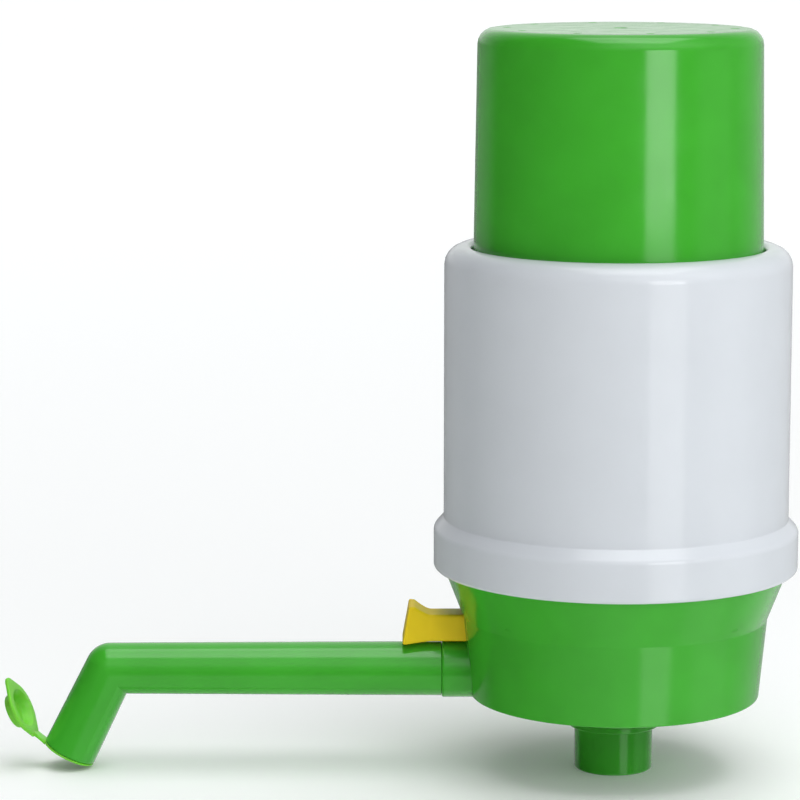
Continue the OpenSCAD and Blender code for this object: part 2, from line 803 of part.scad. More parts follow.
module cap_shell() {
    z_edge = z_top - cap_fillet;
    inner_fillet = cap_fillet - 1;
    r_edge = cap_r_at(z_edge);
    r_inner = r_edge - cap_wall;
    rotate_extrude() polygon(concat(
        [
            [cap_r_at(z_guide) - cap_wall, z_guide],
            [guide_r, z_guide],
            [guide_r, z_guide + collar_t],
            [cap_r_at(z_guide), z_guide + collar_t],
            [cap_r_at(z_stop), z_stop - collar_t],
            [guide_r, z_stop - collar_t],
            [guide_r, z_stop],
            [cap_r_at(z_stop), z_stop]
        ],
        arc(r_edge - cap_fillet, z_edge, cap_fillet, 0, 90, 7),
        [[0, z_top], [0, z_cap_in]],
        arc(r_inner - inner_fillet, z_cap_in - inner_fillet, inner_fillet, 90, 0, 5)
    ));
}

module press_cap() {
    color(green) difference() {
        union() {
            cap_shell();
            around(gusset_n, 0, 15)
                translate([cap_r_at(z_guide) - 0.6, -gusset_t / 2, z_guide + eps])
                    cube([guide_r - cap_r_at(z_guide) + 0.4, gusset_t, guide_h - 2 * eps]);
            around(head_screw_n, head_screw_ring_r, 30)
                translate([0, 0, z_bellows_top + 0.05]) cylinder(r = head_boss_r, h = cap_boss_h);
            around(cap_rib_n, 0, first_vent + 180 / vent_n)
                translate([cap_rib_in_r, -cap_rib_t / 2, z_bellows_top + 0.05])
                    cube([fold_out_r - cap_rib_in_r, cap_rib_t, cap_boss_h]);
        }
        around(vent_n, vent_ring_r, first_vent)
            translate([0, 0, z_cap_in - 1]) cylinder(r = vent_r, h = cap_wall + 2, $fn = 24);
        around(head_screw_n, head_screw_ring_r, 30)
            translate([0, 0, z_bellows_top - 1]) cylinder(r = screw_r + screw_bite, h = cap_boss_h + 1);
        translate([0, 0, z_top - gate_depth]) cylinder(r = gate_r, h = 1);
    }
}

module intake_valve() {
    color(white) difference() {
        union() {
            translate([0, 0, z_intake]) cylinder(r = intake_r, h = intake_t - 0.02);
            translate([0, 0, z_intake]) cylinder(r = intake_hub_r, h = intake_hub_h);
            translate([0, 0, z_intake - spring_ring_h])
                ring(spring_ring_r - spring_ring_t, spring_ring_r, spring_ring_h + eps);
        }
        translate([0, 0, z_intake - 1]) cylinder(r = flap_hole_r, h = intake_hub_h + 2);
        around(flap_port_n, intake_port_ring)
            translate([0, 0, z_intake - 1]) cylinder(r = intake_port_r, h = intake_hub_h + 2);
        around(head_screw_n, head_screw_ring_r, 30)
            translate([0, 0, z_intake - 1]) cylinder(r = screw_r + screw_play, h = intake_t + 2);
    }
}

module intake_flap() {
    color(rubber) translate([0, 0, z_intake]) umbrella(intake_flap_r, intake_hub_h);
}

module head_screws() {
    color(steel) around(head_screw_n, head_screw_ring_r, 30)
        translate([0, 0, z_intake]) mirror([0, 0, 1]) screw(head_screw_len);
}

// Outline of the button's head seen from the side, as distance out and height
module head_side() {
    low = -stem_h / 2;
    high = stem_h / 2;
    top_x = button_x - head_face_tilt;
    crest_x = top_x - head_crest;
    polygon(concat(
        [[flare_x - eps, low], [button_x, low - head_dip]],
        arc(top_x - head_tip, high + head_rise - head_tip, head_tip, 10, 115, 4),
        [for (i = [1:4]) let (t = i / 5)
            [crest_x - (crest_x - flare_x) * t, high + head_rise * pow(1 - t, 1.35)]],
        [[flare_x - eps, high]]
    ));
}

// Half of the head's outline seen from above, as distance out and width
module head_plan() {
    spread = (head_w - stem_w) / 2;
    steps = [for (i = [0:5]) i / 5];
    near = [for (t = steps) [flare_x + head_len * t, -stem_w / 2 - spread * pow(t, 1.5)]];
    away = [for (i = [5:-1:0]) [near[i][0], -near[i][1]]];
    polygon(concat([[flare_x - eps, -stem_w / 2]], near, away, [[flare_x - eps, stem_w / 2]]));
}

module release_knob() {
    color(yellow) difference() {
        union() {
            translate([-flare_x, -stem_w / 2, z_button - stem_h / 2]) cube([flare_x - stem_x, stem_w, stem_h]);
            along_spout(z_button) translate([0, 0, pin_end_x]) cylinder(r = valve_pin_r, h = stem_x - pin_end_x + 1);
            intersection() {
                translate([0, far / 2, z_button]) rotate([90, 0, 0]) linear_extrude(far)
                    mirror([1, 0]) head_side();
                translate([0, 0, z_button - far / 2]) linear_extrude(far)
                    mirror([1, 0]) head_plan();
            }
        }
        along_spout(z_button) translate([0, 0, clip_x - release_clip_t - 0.1])
            ring(release_groove_r, valve_pin_r + 1, release_clip_t + 0.2);
    }
}

module release_seal() {
    color(rubber) along_spout(z_button) translate([0, 0, clip_x + release_washer_t + 0.1])
        ring(valve_pin_r + 0.05, release_seal_r, release_seal_t);
}

module release_washer() {
    color(white) along_spout(z_button) translate([0, 0, clip_x + 0.05])
        ring(valve_pin_r + 0.05, release_washer_r, release_washer_t);
}

// A ring that snaps into the pin's groove through its open side
module release_clip() {
    color(steel) along_spout(z_button) translate([0, 0, clip_x - release_clip_t]) difference() {
        ring(release_groove_r + 0.03, release_clip_r, release_clip_t);
        translate([0, -release_groove_r * 0.8, -1]) cube([far, release_groove_r * 1.6, release_clip_t + 2]);
    }
}

release_path = coil_path(release_coil_r, seat_x + release_wire_r + 0.08,
    stem_x - seat_x - 2 * release_wire_r - 0.16, release_turns - 2, 2 * release_wire_r + 0.45);

module release_spring() {
    echo(release_spring_gap = coil_gap(release_path, release_wire_r));
    color(steel) along_spout(z_button) coil(release_path, release_wire_r);
}

module spout() {
    root = socket_x + tail_gap;
    color(green) difference() {
        union() {
            along_spout(z_axis) translate([0, 0, tail_end]) cylinder(r = tail_r, h = root - tail_end + 1);
            along_spout(z_axis) translate([0, 0, root])
                cylinder(r1 = spout_root_r, r2 = spout_elbow_r, h = spout_reach - root);
            translate([-spout_reach, 0, z_axis]) sphere(r = spout_elbow_r + elbow_swell);
            at_mouth() translate([0, 0, -nozzle_len])
                cylinder(r1 = spout_elbow_r, r2 = spout_mouth_r, h = nozzle_len);
        }
        along_spout(z_axis) translate([0, 0, tail_end - 1])
            cylinder(r = channel_bore_r, h = root + neck_len + 2 - tail_end);
        along_spout(z_axis) translate([0, 0, root + neck_len])
            cylinder(r = spout_bore_r, h = spout_reach - root - neck_len);
        translate([-spout_reach, 0, z_axis]) sphere(r = spout_bore_r + elbow_swell);
        at_mouth() translate([0, 0, -nozzle_len]) cylinder(r = spout_bore_r, h = nozzle_len);
        at_mouth() translate([0, 0, -mouth_bore_len]) cylinder(r = mouth_bore_r, h = nozzle_len);
        for (x = oring_x)
            along_spout(z_axis) translate([0, 0, x - oring_groove_w / 2])
                ring(oring_groove_r, tail_r + 1, oring_groove_w);
        along_spout(z_axis) translate([0, 0, fork_x - fork_groove_t / 2])
            ring(fork_groove_r, tail_r + 1, fork_groove_t);
    }
}

module spout_o_rings() {
    color(rubber) for (x = oring_x)
        along_spout(z_axis) translate([0, 0, x])
            rotate_extrude() translate([oring_groove_r + oring_r + 0.05, 0]) circle(r = oring_r, $fn = 24);
}

// A fork of sheet plastic that holds the tail by its groove
module spout_fork() {
    color(white) translate([-fork_x - fork_t / 2, 0, z_axis]) rotate([90, 0, 90]) linear_extrude(fork_t)
        difference() {
            translate([-fork_out, -fork_drop]) square([2 * fork_out, fork_drop + fork_top]);
            circle(r = fork_in_r);
            translate([-fork_in_r, 0]) square([2 * fork_in_r, fork_top + 1]);
        }
}

module dust_cap_liner() {
    color(light_green) at_mouth() difference() {
        union() {
            cylinder(r = spout_mouth_r - 0.05, h = liner_flange_t);
            translate([0, 0, -liner_len]) cylinder(r = liner_r, h = liner_len + eps);
        }
        translate([0, 0, -far / 2]) cylinder(r = liner_r - liner_t, h = far);
    }
}

// The strap runs from the liner's edge to the edge of the open lid
module dust_cap_strap() {
    run = strap_edge - strap_from;
    along = run / norm(run);
    side = strap_t / 2 * [-along[1], along[0]];
    strap_to = strap_edge - strap_pull * along;
    color(light_green) at_mouth() translate([0, strap_w / 2, 0]) rotate([90, 0, 0]) linear_extrude(strap_w)
        polygon([strap_from - side, strap_to - side, strap_to + side, strap_from + side]);
}

module dust_cap_lid() {
    tip = plug_r - plug_taper;
    tab_w = 5;
    tab_round = 1;
    color(light_green) at_mouth() opened() difference() {
        union() {
            translate([0, 0, lid_z]) cylinder(r = lid_r, h = lid_t);
            translate([0, 0, lid_z - plug_len]) cylinder(r1 = tip, r2 = plug_r, h = plug_len + eps);
            translate([-lid_r - tab_out + tab_round, -tab_w / 2, lid_z])
                cube([lid_r, tab_w, lid_t]);
            for (s = [-1, 1])
                translate([-lid_r - tab_out + tab_round, s * (tab_w / 2 - tab_round), lid_z])
                    cylinder(r = tab_round, h = lid_t, $fn = 32);
            translate([-lid_r - tab_out, -tab_w / 2 + tab_round, lid_z])
                cube([tab_round + 1, tab_w - 2 * tab_round, lid_t]);
        }
        translate([0, 0, lid_z - plug_len + plug_wall])
            cylinder(r1 = tip - plug_wall, r2 = plug_r - plug_wall, h = plug_len - plug_wall + lid_t + eps);
    }
}

base_body();
suction_connector();
connector_o_ring();
jug_gasket();
deck_seal();
valve_deck();
outlet_flap();
bellows_clamp();
deck_screws();
bellows();
return_spring();
outer_sleeve();
press_cap();
intake_valve();
intake_flap();
head_screws();
release_knob();
release_seal();
release_washer();
release_clip();
release_spring();
spout();
spout_o_rings();
spout_fork();
dust_cap_liner();
dust_cap_strap();
dust_cap_lid();
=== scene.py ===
# %% [markdown]
# # Hand pump for a water jug
# The pump has a green cap that is pressed, a white sleeve, a green base with a yellow release
# button, and a bent spout with a soft dust cap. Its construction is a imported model, loaded here
# as a fixed frame. The parts that show from some side, the bellows and the springs are made
# again as finer surfaces with rounded edges and their own finish. The other parts keep their
# solids and get a finish too.

# %% Load the frame
import json
import math

import bmesh
import bpy
import numpy as np
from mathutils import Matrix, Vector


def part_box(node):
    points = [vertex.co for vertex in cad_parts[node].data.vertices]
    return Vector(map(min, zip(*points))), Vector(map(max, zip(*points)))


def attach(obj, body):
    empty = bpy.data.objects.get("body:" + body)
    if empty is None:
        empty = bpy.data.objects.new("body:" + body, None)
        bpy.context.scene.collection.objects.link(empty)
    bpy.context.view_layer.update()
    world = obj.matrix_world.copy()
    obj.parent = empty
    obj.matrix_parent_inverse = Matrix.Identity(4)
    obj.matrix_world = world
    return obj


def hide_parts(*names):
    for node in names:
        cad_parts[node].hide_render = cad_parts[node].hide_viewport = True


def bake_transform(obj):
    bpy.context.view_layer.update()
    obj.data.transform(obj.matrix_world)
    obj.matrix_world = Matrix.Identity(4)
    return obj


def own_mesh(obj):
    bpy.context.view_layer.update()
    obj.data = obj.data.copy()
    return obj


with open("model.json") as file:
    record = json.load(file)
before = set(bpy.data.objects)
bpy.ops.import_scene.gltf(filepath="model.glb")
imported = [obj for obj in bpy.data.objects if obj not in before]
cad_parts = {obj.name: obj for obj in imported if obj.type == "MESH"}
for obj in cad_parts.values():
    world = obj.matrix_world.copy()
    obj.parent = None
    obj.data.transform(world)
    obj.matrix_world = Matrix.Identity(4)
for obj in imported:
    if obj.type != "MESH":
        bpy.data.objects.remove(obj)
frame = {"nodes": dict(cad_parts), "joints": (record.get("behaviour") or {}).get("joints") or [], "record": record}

nodes = frame["nodes"]
joints = {joint["name"]: joint for joint in frame["joints"]}
mounts = {mount["name"]: mount for mount in frame["record"]["mounts"]}
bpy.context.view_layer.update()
MM = 0.001


def span(node):
    """Lowest and highest corner of a node, in millimetres."""
    low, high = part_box(node)
    return np.array(low) / MM, np.array(high) / MM


# %% [markdown]
# ## Camera
# The camera looks along +Y, a little down. Its place, tilt and lens were fitted to the outlines
# of the cap, the sleeve's band and the spout, whose sizes are known, so that each point of the
# model falls on the same point of the photograph.

# %% Camera
CAMERA_AT = (-0.0521, -0.8064, 0.2197)
CAMERA_TILT = 80.91
CAMERA_LENS = 152.9

camera_data = bpy.data.cameras.new("camera")
camera_data.lens = CAMERA_LENS
camera_data.sensor_width = 36
camera = bpy.data.objects.new("camera", camera_data)
camera.location = CAMERA_AT
camera.rotation_euler = (math.radians(CAMERA_TILT), 0, 0)
bpy.context.scene.collection.objects.link(camera)
bpy.context.scene.camera = camera

# %% [markdown]
# ## Grids of points
# Almost every part is a grid of points that a formula gives: rows follow an outline, columns go
# round it. numpy works out all the points at once. The helper below turns such a grid into a
# mesh, merges the doubled points at poles and seams, and turns the faces outwards.

# %% Mesh helpers
MERGE = 2e-6
SHARP = 32
# A cutter reaches this far past what it cuts, in millimetres
PAST = 1.0


def grid_faces(rows, columns, wrap_rows, wrap_columns):
    """Corner numbers of the four-sided faces between neighbouring rows and columns."""
    index = np.arange(rows * columns).reshape(rows, columns)
    if wrap_rows:
        index = np.vstack([index, index[:1]])
    if wrap_columns:
        index = np.hstack([index, index[:, :1]])
    corners = [index[:-1, :-1], index[1:, :-1], index[1:, 1:], index[:-1, 1:]]
    return np.stack(corners, axis=-1).reshape(-1, 4)


def grid_piece(name, points, wrap_rows=True, wrap_columns=True, sharp=SHARP):
    """An object through grids of points in millimetres: points[i, j], or points[k, i, j] for k
    separate shells. Edges that turn by more than sharp degrees keep a crisp shading."""
    shells = points if points.ndim == 4 else points[None]
    count, rows, columns = shells.shape[:3]
    one = grid_faces(rows, columns, wrap_rows, wrap_columns)
    faces = (one[None] + (np.arange(count) * rows * columns)[:, None, None]).reshape(-1, 4)
    mesh = bpy.data.meshes.new(name)
    mesh.from_pydata((shells.reshape(-1, 3) * MM).tolist(), [], faces.tolist())
    work = bmesh.new()
    work.from_mesh(mesh)
    bmesh.ops.remove_doubles(work, verts=work.verts, dist=MERGE)
    bmesh.ops.recalc_face_normals(work, faces=work.faces)
    work.to_mesh(mesh)
    work.free()
    mesh.shade_smooth()
    mesh.set_sharp_from_angle(angle=math.radians(sharp))
    piece = bpy.data.objects.new(name, mesh)
    bpy.context.scene.collection.objects.link(piece)
    return piece


def applied(piece):
    """Puts what the modifiers of piece make into its mesh."""
    graph = bpy.context.evaluated_depsgraph_get()
    mesh = bpy.data.meshes.new_from_object(piece.evaluated_get(graph))
    piece.modifiers.clear()
    old = piece.data
    piece.data = mesh
    bpy.data.meshes.remove(old)
    return mesh


def combine(piece, tool, operation, sharp=SHARP):
    """Adds the solid tool to piece (UNION) or takes it away (DIFFERENCE). The tool is used up."""
    change = piece.modifiers.new("change", "BOOLEAN")
    change.operation = operation
    change.solver = "EXACT"
    change.object = tool
    mesh = applied(piece)
    bpy.data.objects.remove(tool)
    mesh.shade_smooth()
    mesh.set_sharp_from_angle(angle=math.radians(sharp))


def add(piece, points):
    """Adds the solid through points, or several of them, to piece."""
    combine(piece, grid_piece("added", points, wrap_rows=False), "UNION")


def cut(piece, points):
    """Cuts the solid through points, or several of them, out of piece."""
    combine(piece, grid_piece("cut", points, wrap_rows=False), "DIFFERENCE")


def finish_piece(piece, body, slot, *replaced):
    """Gives a piece its finish and its body, and hides the solids that it stands for. Normals
    weighted by the faces' areas keep its flat faces flat up to their rounded edges."""
    weights = piece.modifiers.new("weights", "WEIGHTED_NORMAL")
    weights.keep_sharp = True
    applied(piece)
    piece.data.materials.clear()
    piece.data.materials.append(finishes[slot])
    piece.data.name = piece.name
    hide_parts(*replaced)
    if body is not None:
        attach(piece, body)
    print(piece.name, len(piece.data.polygons), "faces")

# %% [markdown]
# ## Outlines with rounded corners
# A moulded part has no perfectly sharp edge: each edge catches a thin line of light. So an
# outline is written as its corners, each with the radius of its rounding, and one formula puts
# the arcs in.

# %% Outlines
ARC_STEPS = 6


def rounded(corners, closed=True):
    """An outline with an arc at each corner. A row of corners is (across, up, radius). With u
    and v the unit directions to the neighbours and h half the angle between them, the arc's
    centre lies radius / sin h along u + v, and it touches the sides radius / tan h away."""
    data = np.array(corners, float)
    here, radius = data[:, :2], data[:, 2:]
    back = np.roll(here, 1, axis=0) - here
    ahead = np.roll(here, -1, axis=0) - here
    back /= np.linalg.norm(back, axis=1, keepdims=True)
    ahead /= np.linalg.norm(ahead, axis=1, keepdims=True)
    half = np.arccos(np.clip((back * ahead).sum(axis=1, keepdims=True), -1, 1)) / 2
    middle = back + ahead
    middle /= np.linalg.norm(middle, axis=1, keepdims=True)
    centre = here + middle * radius / np.sin(half)
    first = here + back * radius / np.tan(half) - centre
    last = here + ahead * radius / np.tan(half) - centre
    turn = (np.pi - 2 * half)[:, None]
    t = np.linspace(0, 1, ARC_STEPS)[None, :, None]
    arcs = (np.sin((1 - t) * turn) * first[:, None] + np.sin(t * turn) * last[:, None]) / np.sin(turn)
    points = centre[:, None] + arcs
    if closed:
        return points.reshape(-1, 2)
    return np.vstack([here[:1], points[1:-1].reshape(-1, 2), here[-1:]])


def revolved(outline, steps=192):
    """A point (r, z) of the outline goes round the Z axis: (r cos a, r sin a, z)."""
    angle = np.arange(steps) * 2 * np.pi / steps
    r, z = outline.T
    x, y = np.outer(r, np.cos(angle)), np.outer(r, np.sin(angle))
    return np.stack([x, y, np.repeat(z[:, None], steps, axis=1)], axis=-1)


def turned(name, corners, closed=True, steps=192, place=None):
    """A turned part with rounded corners. An open outline starts and ends on the axis. place
    moves its points from the part's own frame into the pump's."""
    points = revolved(rounded(corners, closed), steps)
    if place is not None:
        points = place(points)
    return grid_piece(name, points, wrap_rows=closed)


def rod(radius, low, high, steps=32):
    """Points of a plain round rod about the Z axis."""
    return revolved(np.array([(0, low), (radius, low), (radius, high), (0, high)], float), steps)


def around(points, count, first=0.0, out=0.0):
    """Copies of points at even steps round the Z axis, first degrees on from +X, after a move
    of out along X."""
    angle = np.radians(first) + np.arange(count) * 2 * np.pi / count
    c, s = np.cos(angle)[:, None, None], np.sin(angle)[:, None, None]
    x, y, z = np.moveaxis(points + np.array([out, 0, 0]), -1, 0)
    return np.stack([x * c - y * s, x * s + y * c, z + 0 * c], axis=-1)

# %% [markdown]
# ## Frames of the spout
# The spout's own parts are easiest to draw about an upright axis. Two frames then bring them to
# their places: one along the spout's root, and one in its mouth, which is a mount of the model.

# %% Frames


def placed(origin, x_axis, z_axis):
    """A function that moves points from the frame at origin, with those two axes, to the pump's."""
    x, z = np.array(x_axis, float), np.array(z_axis, float)
    axes = np.stack([x, np.cross(z, x), z])
    return lambda points: points @ axes + np.array(origin, float)


def turned_about(points, pivot, axis, degrees):
    """Points turned about a line: the part along the axis stays, and the rest turns as
    v cos a + (axis x v) sin a + axis (axis . v)(1 - cos a)."""
    axis = np.array(axis, float) / np.linalg.norm(axis)
    away = points - pivot
    c, s = math.cos(math.radians(degrees)), math.sin(math.radians(degrees))
    along = (away @ axis)[..., None] * axis
    return pivot + away * c + np.cross(axis, away) * s + along * (1 - c)


z_axis = joints["spout_swivel"]["pos_m"][2] / MM
z_button = float(np.mean([corner[2] for corner in span("release_seal")]))
mouth_at = np.array(mounts["spout_mouth"]["pos_m"]) / MM
mouth_out = np.array(mounts["spout_mouth"]["axis"])
along_spout = placed((0, 0, z_axis), (0, 0, 1), (-1, 0, 0))
along_button = placed((0, 0, z_button), (0, 0, 1), (-1, 0, 0))
at_mouth = placed(mouth_at, (mouth_out[2], 0, -mouth_out[0]), mouth_out)
print("spout axis", round(z_axis, 3), "button axis", round(z_button, 3), "mouth", mouth_at)

# %% [markdown]
# ## Bars
# The button, the block behind it, the ribs and the strap of the dust cap are bars with rounded
# edges. A bar is a rounded rectangle carried along X, whose width and height may change on the
# way.

# %% Bars


def eased(start, end, edge, steps=5):
    """Stations from start to end, and how far the section draws in at each, so that the edges
    of both ends follow a quarter circle: edge (1 - cos a) along and edge (1 - sin a) in."""
    a = np.linspace(0, np.pi / 2, steps)
    step = math.copysign(edge, end - start) * (1 - np.cos(a))
    draw = edge * (1 - np.sin(a))
    return np.concatenate([start + step, (end - step)[::-1]]), np.concatenate([draw, draw[::-1]])


def bar(x, half, low, high, radius, lean=0.0, steps=5):
    """At each station x the section is 2 half wide and runs from low to high: four quarter
    circles, pushed apart. Its upper edge lies lean further along X. The ends close flat."""
    stations = [v[:, None].astype(float) for v in np.broadcast_arrays(x, half, low, high, radius, lean)]
    x, half, low, high, radius, lean = stations
    a = np.radians(np.arange(4)[:, None] * 90 + np.linspace(0, 90, steps)).ravel()
    right, above = np.repeat([1, -1, -1, 1], steps), np.repeat([1, 1, -1, -1], steps)
    y = right * (half - radius) + radius * np.cos(a)
    z = (low + high) / 2 + above * ((high - low) / 2 - radius) + radius * np.sin(a)
    rings = np.stack([x + lean * (z - low) / (high - low), y, z], axis=-1)
    ends = np.broadcast_to(rings[[0, -1]].mean(axis=1, keepdims=True), rings[[0, -1]].shape)
    return np.concatenate([ends[:1], rings, ends[1:]])


def brick(low, high, edge):
    """Points of a block between two corners, with all its edges rounded alike."""
    x, draw = eased(low[0], high[0], edge)
    points = bar(x, (high[1] - low[1]) / 2 - draw, low[2] + draw, high[2] - draw, edge - draw)
    return points + np.array([0, (low[1] + high[1]) / 2, 0])

# %% [markdown]
# ## Finishes
# All the big parts are injection moulded. Such plastic is glossy but not perfect: its skin is
# faintly wavy, its gloss varies a little, and the colour is never quite even. The waves and the
# grain are bump from noise in millimetres, read from Object coordinates.

# %% Shader helpers
# Noise mostly lies between these two values
NOISE_RANGE = (0.3, 0.7)
# Across, in millimetres: patches of colour and of gloss, slow waves, grain
COLOUR_PATCH = 14
GLOSS_PATCH = 5
WAVE_SIZE = 11
GRAIN_SIZE = 0.35


class Tree:
    """The nodes of a material or of the surroundings, and short ways to add some."""

    def __init__(self, owner):
        owner.use_nodes = True
        self.nodes = owner.node_tree.nodes
        self.links = owner.node_tree.links

    def ramp(self, factor, stops):
        """Colours along a factor. stops is a list of (place, colour)."""
        node = self.nodes.new("ShaderNodeValToRGB")
        elements = node.color_ramp.elements
        while len(elements) < len(stops):
            elements.new(0.5)
        for element, (at, colour) in zip(elements, stops):
            element.position = at
            element.color = (*colour, 1)
        self.links.new(factor, node.inputs["Fac"])
        return node.outputs["Color"]

    def spread(self, factor, low, high, start=NOISE_RANGE[0], end=NOISE_RANGE[1], way="LINEAR"):
        """Maps a factor from start to end onto low to high."""
        node = self.nodes.new("ShaderNodeMapRange")
        node.interpolation_type = way
        for socket, value in zip(("From Min", "From Max", "To Min", "To Max"), (start, end, low, high)):
            node.inputs[socket].default_value = value
        self.links.new(factor, node.inputs["Value"])
        return node.outputs["Result"]


class Shader(Tree):
    """A material with its nodes."""

    def __init__(self, name, **values):
        self.material = bpy.data.materials.new(name)
        super().__init__(self.material)
        self.surface = self.nodes["Principled BSDF"]
        for socket, value in values.items():
            self.surface.inputs[socket.replace("_", " ")].default_value = value
        self.place = self.nodes.new("ShaderNodeTexCoord").outputs["Object"]

    def link(self, source, socket):
        self.links.new(source, self.surface.inputs[socket])

    def noise(self, size, detail=2.0):
        """Noise whose features are about size millimetres across."""
        mapping = self.nodes.new("ShaderNodeMapping")
        mapping.inputs["Scale"].default_value = [1 / (size * MM)] * 3
        node = self.nodes.new("ShaderNodeTexNoise")
        node.inputs["Scale"].default_value = 1.0
        node.inputs["Detail"].default_value = detail
        self.links.new(self.place, mapping.inputs["Vector"])
        self.links.new(mapping.outputs["Vector"], node.inputs["Vector"])
        return node.outputs["Fac"]

    def bump(self, height, depth, below=None):
        """Bump whose height field is depth millimetres deep, over another bump if given."""
        node = self.nodes.new("ShaderNodeBump")
        node.inputs["Distance"].default_value = depth * MM
        self.links.new(height, node.inputs["Height"])
        if below is not None:
            self.links.new(below, node.inputs["Normal"])
        return node.outputs["Normal"]


def tint(colour, amount):
    """A colour made lighter or darker by a share."""
    return tuple(min(1.0, c * (1 + amount)) for c in colour)


def moulded(name, colour, gloss=(0.12, 0.19), wave=0.02, grain=0.0012, uneven=0.05, **values):
    """Glossy moulded plastic: gloss is the range of its roughness, wave and grain the depth in
    millimetres of its slow waves and its fine skin, and uneven how much its colour varies."""
    shader = Shader(name, **values)
    stops = list(zip(NOISE_RANGE, (tint(colour, -uneven), tint(colour, uneven))))
    shader.link(shader.ramp(shader.noise(COLOUR_PATCH), stops), "Base Color")
    shader.link(shader.spread(shader.noise(GLOSS_PATCH, 4), *gloss), "Roughness")
    slow = shader.bump(shader.noise(WAVE_SIZE, 1), wave)
    shader.link(shader.bump(shader.noise(GRAIN_SIZE, 3), grain, slow), "Normal")
    return shader.material

# %% Finishes of the pump
GREEN = (0.053, 0.425, 0.027)
WHITE = (0.695, 0.725, 0.765)
YELLOW = (0.90, 0.64, 0.015)
SOFT_GREEN = (0.20, 0.62, 0.05)
NATURAL = (0.80, 0.80, 0.72)
RUBBER = (0.022, 0.022, 0.024)
STEEL = (0.62, 0.62, 0.63)

finishes = {
    "green_plastic": moulded("green", GREEN, IOR=1.5),
    "white_plastic": moulded("white", WHITE, gloss=(0.09, 0.15), uneven=0.012, IOR=1.5),
    "yellow_plastic": moulded("yellow", YELLOW, gloss=(0.42, 0.52), IOR=1.5, Specular_IOR_Level=0.15),
    "soft_green_plastic": moulded("soft_green", SOFT_GREEN, gloss=(0.3, 0.42), grain=0.003, IOR=1.48,
                                  Specular_IOR_Level=0.3, Subsurface_Weight=0.5,
                                  Subsurface_Scale=0.0015, Subsurface_Radius=(0.5, 1, 0.3)),
    "natural_plastic": moulded("milky", NATURAL, gloss=(0.28, 0.4), IOR=1.5),
    "rubber": moulded("black_rubber", RUBBER, gloss=(0.45, 0.65), grain=0.006, IOR=1.5),
    "steel": moulded("bright_steel", STEEL, gloss=(0.18, 0.34), grain=0.002, Metallic=1.0),
}

# %% [markdown]
# ## Press cap
# The cap is a cup turned upside down, with a soft edge round its top, two guide collars at its
# foot inside the sleeve, ten air holes and the small round mark where the plastic was
# injected. It is turned from one outline, and then the holes are cut.

# %% Press cap
cap_low, cap_high = span("press_cap")
sleeve_low, sleeve_high = span("outer_sleeve")
z_top = cap_high[2]
z_guide = cap_low[2]
guide_r = cap_high[0]
z_crest = sleeve_high[2]
LIP_DEPTH = 3.6
STOP_GAP = 0.3
z_lip = z_crest - LIP_DEPTH
z_stop = z_lip - STOP_GAP
COLLAR_T = 2.4
CAP_WALL = 2.0
CAP_FILLET = 3.8
CAP_FILLET_IN = 2.0
CAP_FOOT_R = 34.6
CAP_SLOPE = 0.8 / 51.9
VENT_N = 10
VENT_R = 0.9
VENT_RING_R = 27.0
FIRST_VENT = -79
VENT_EDGE = 0.25
VENT_BEVEL = 0.08
VENT_OVER = 0.02
GATE_R = 1.6
GATE_EDGE = 0.15
GATE_DEPTH = 0.25


def cap_radius(z):
    """The cap narrows evenly from its foot to its top edge."""
    return CAP_FOOT_R - CAP_SLOPE * (z - z_lip)


z_inner = z_top - CAP_WALL
press_cap = turned("press_cap_shell", [
    (0, z_top - GATE_DEPTH, 0),
    (GATE_R, z_top - GATE_DEPTH, 0.1),
    (GATE_R + GATE_EDGE, z_top, GATE_EDGE),
    (cap_radius(z_top), z_top, CAP_FILLET),
    (cap_radius(z_stop), z_stop, 0.2),
    (guide_r, z_stop, 0.3),
    (guide_r, z_stop - COLLAR_T, 0.3),
    (cap_radius(z_stop), z_stop - COLLAR_T, 0.2),
    (cap_radius(z_guide), z_guide + COLLAR_T, 0.2),
    (guide_r, z_guide + COLLAR_T, 0.3),
    (guide_r, z_guide, 0.3),
    (cap_radius(z_guide) - CAP_WALL, z_guide, 0.3),
    (cap_radius(z_inner) - CAP_WALL, z_inner, CAP_FILLET_IN),
    (0, z_inner, 0),
], closed=False, steps=256)

# %% [markdown]
# The cutter of an air hole opens out a little at the top, which rounds the hole's edge.

# %% Press cap: air holes
vent_line = [(0, z_inner - PAST), (VENT_R, z_inner - PAST), (VENT_R, z_top - VENT_EDGE),
             (VENT_R + VENT_BEVEL, z_top - VENT_BEVEL), (VENT_R + VENT_EDGE, z_top + VENT_OVER),
             (0, z_top + VENT_OVER)]
vent = revolved(np.array(vent_line), 32)
cut(press_cap, around(vent, VENT_N, FIRST_VENT, VENT_RING_R))
print("cap with", VENT_N, "holes", len(press_cap.data.polygons), "faces")

# %% [markdown]
# Under its top the cap has three bosses for its screws and five ribs that press on the bellows.
# Twelve gussets stiffen the collars at its foot. All of them are plain solids, added after the
# air holes are cut: with the holes cut last, streaks showed in the top between holes and centre.

# %% Press cap: bosses, ribs and gussets
HEAD_SCREW_N = 3
HEAD_SCREW_RING_R = 12.0
FIRST_HEAD_SCREW = 30
SCREW_HOLE_R = 1.55
HEAD_BOSS_R = 3.2
HEAD_BOSS_H = 3.0
HEAD_BOSS_CLEAR = 0.05
CAP_RIB_N = 5
CAP_RIB_LEN = 11.6
CAP_RIB_SETBACK = 0.4
GUSSET_N = 12
FIRST_GUSSET = 15
GUSSET_SINK = 0.6
GUSSET_SETBACK = 0.1
WEB_T = 1.2
WEB_EDGE = 0.15
BITE = 0.3

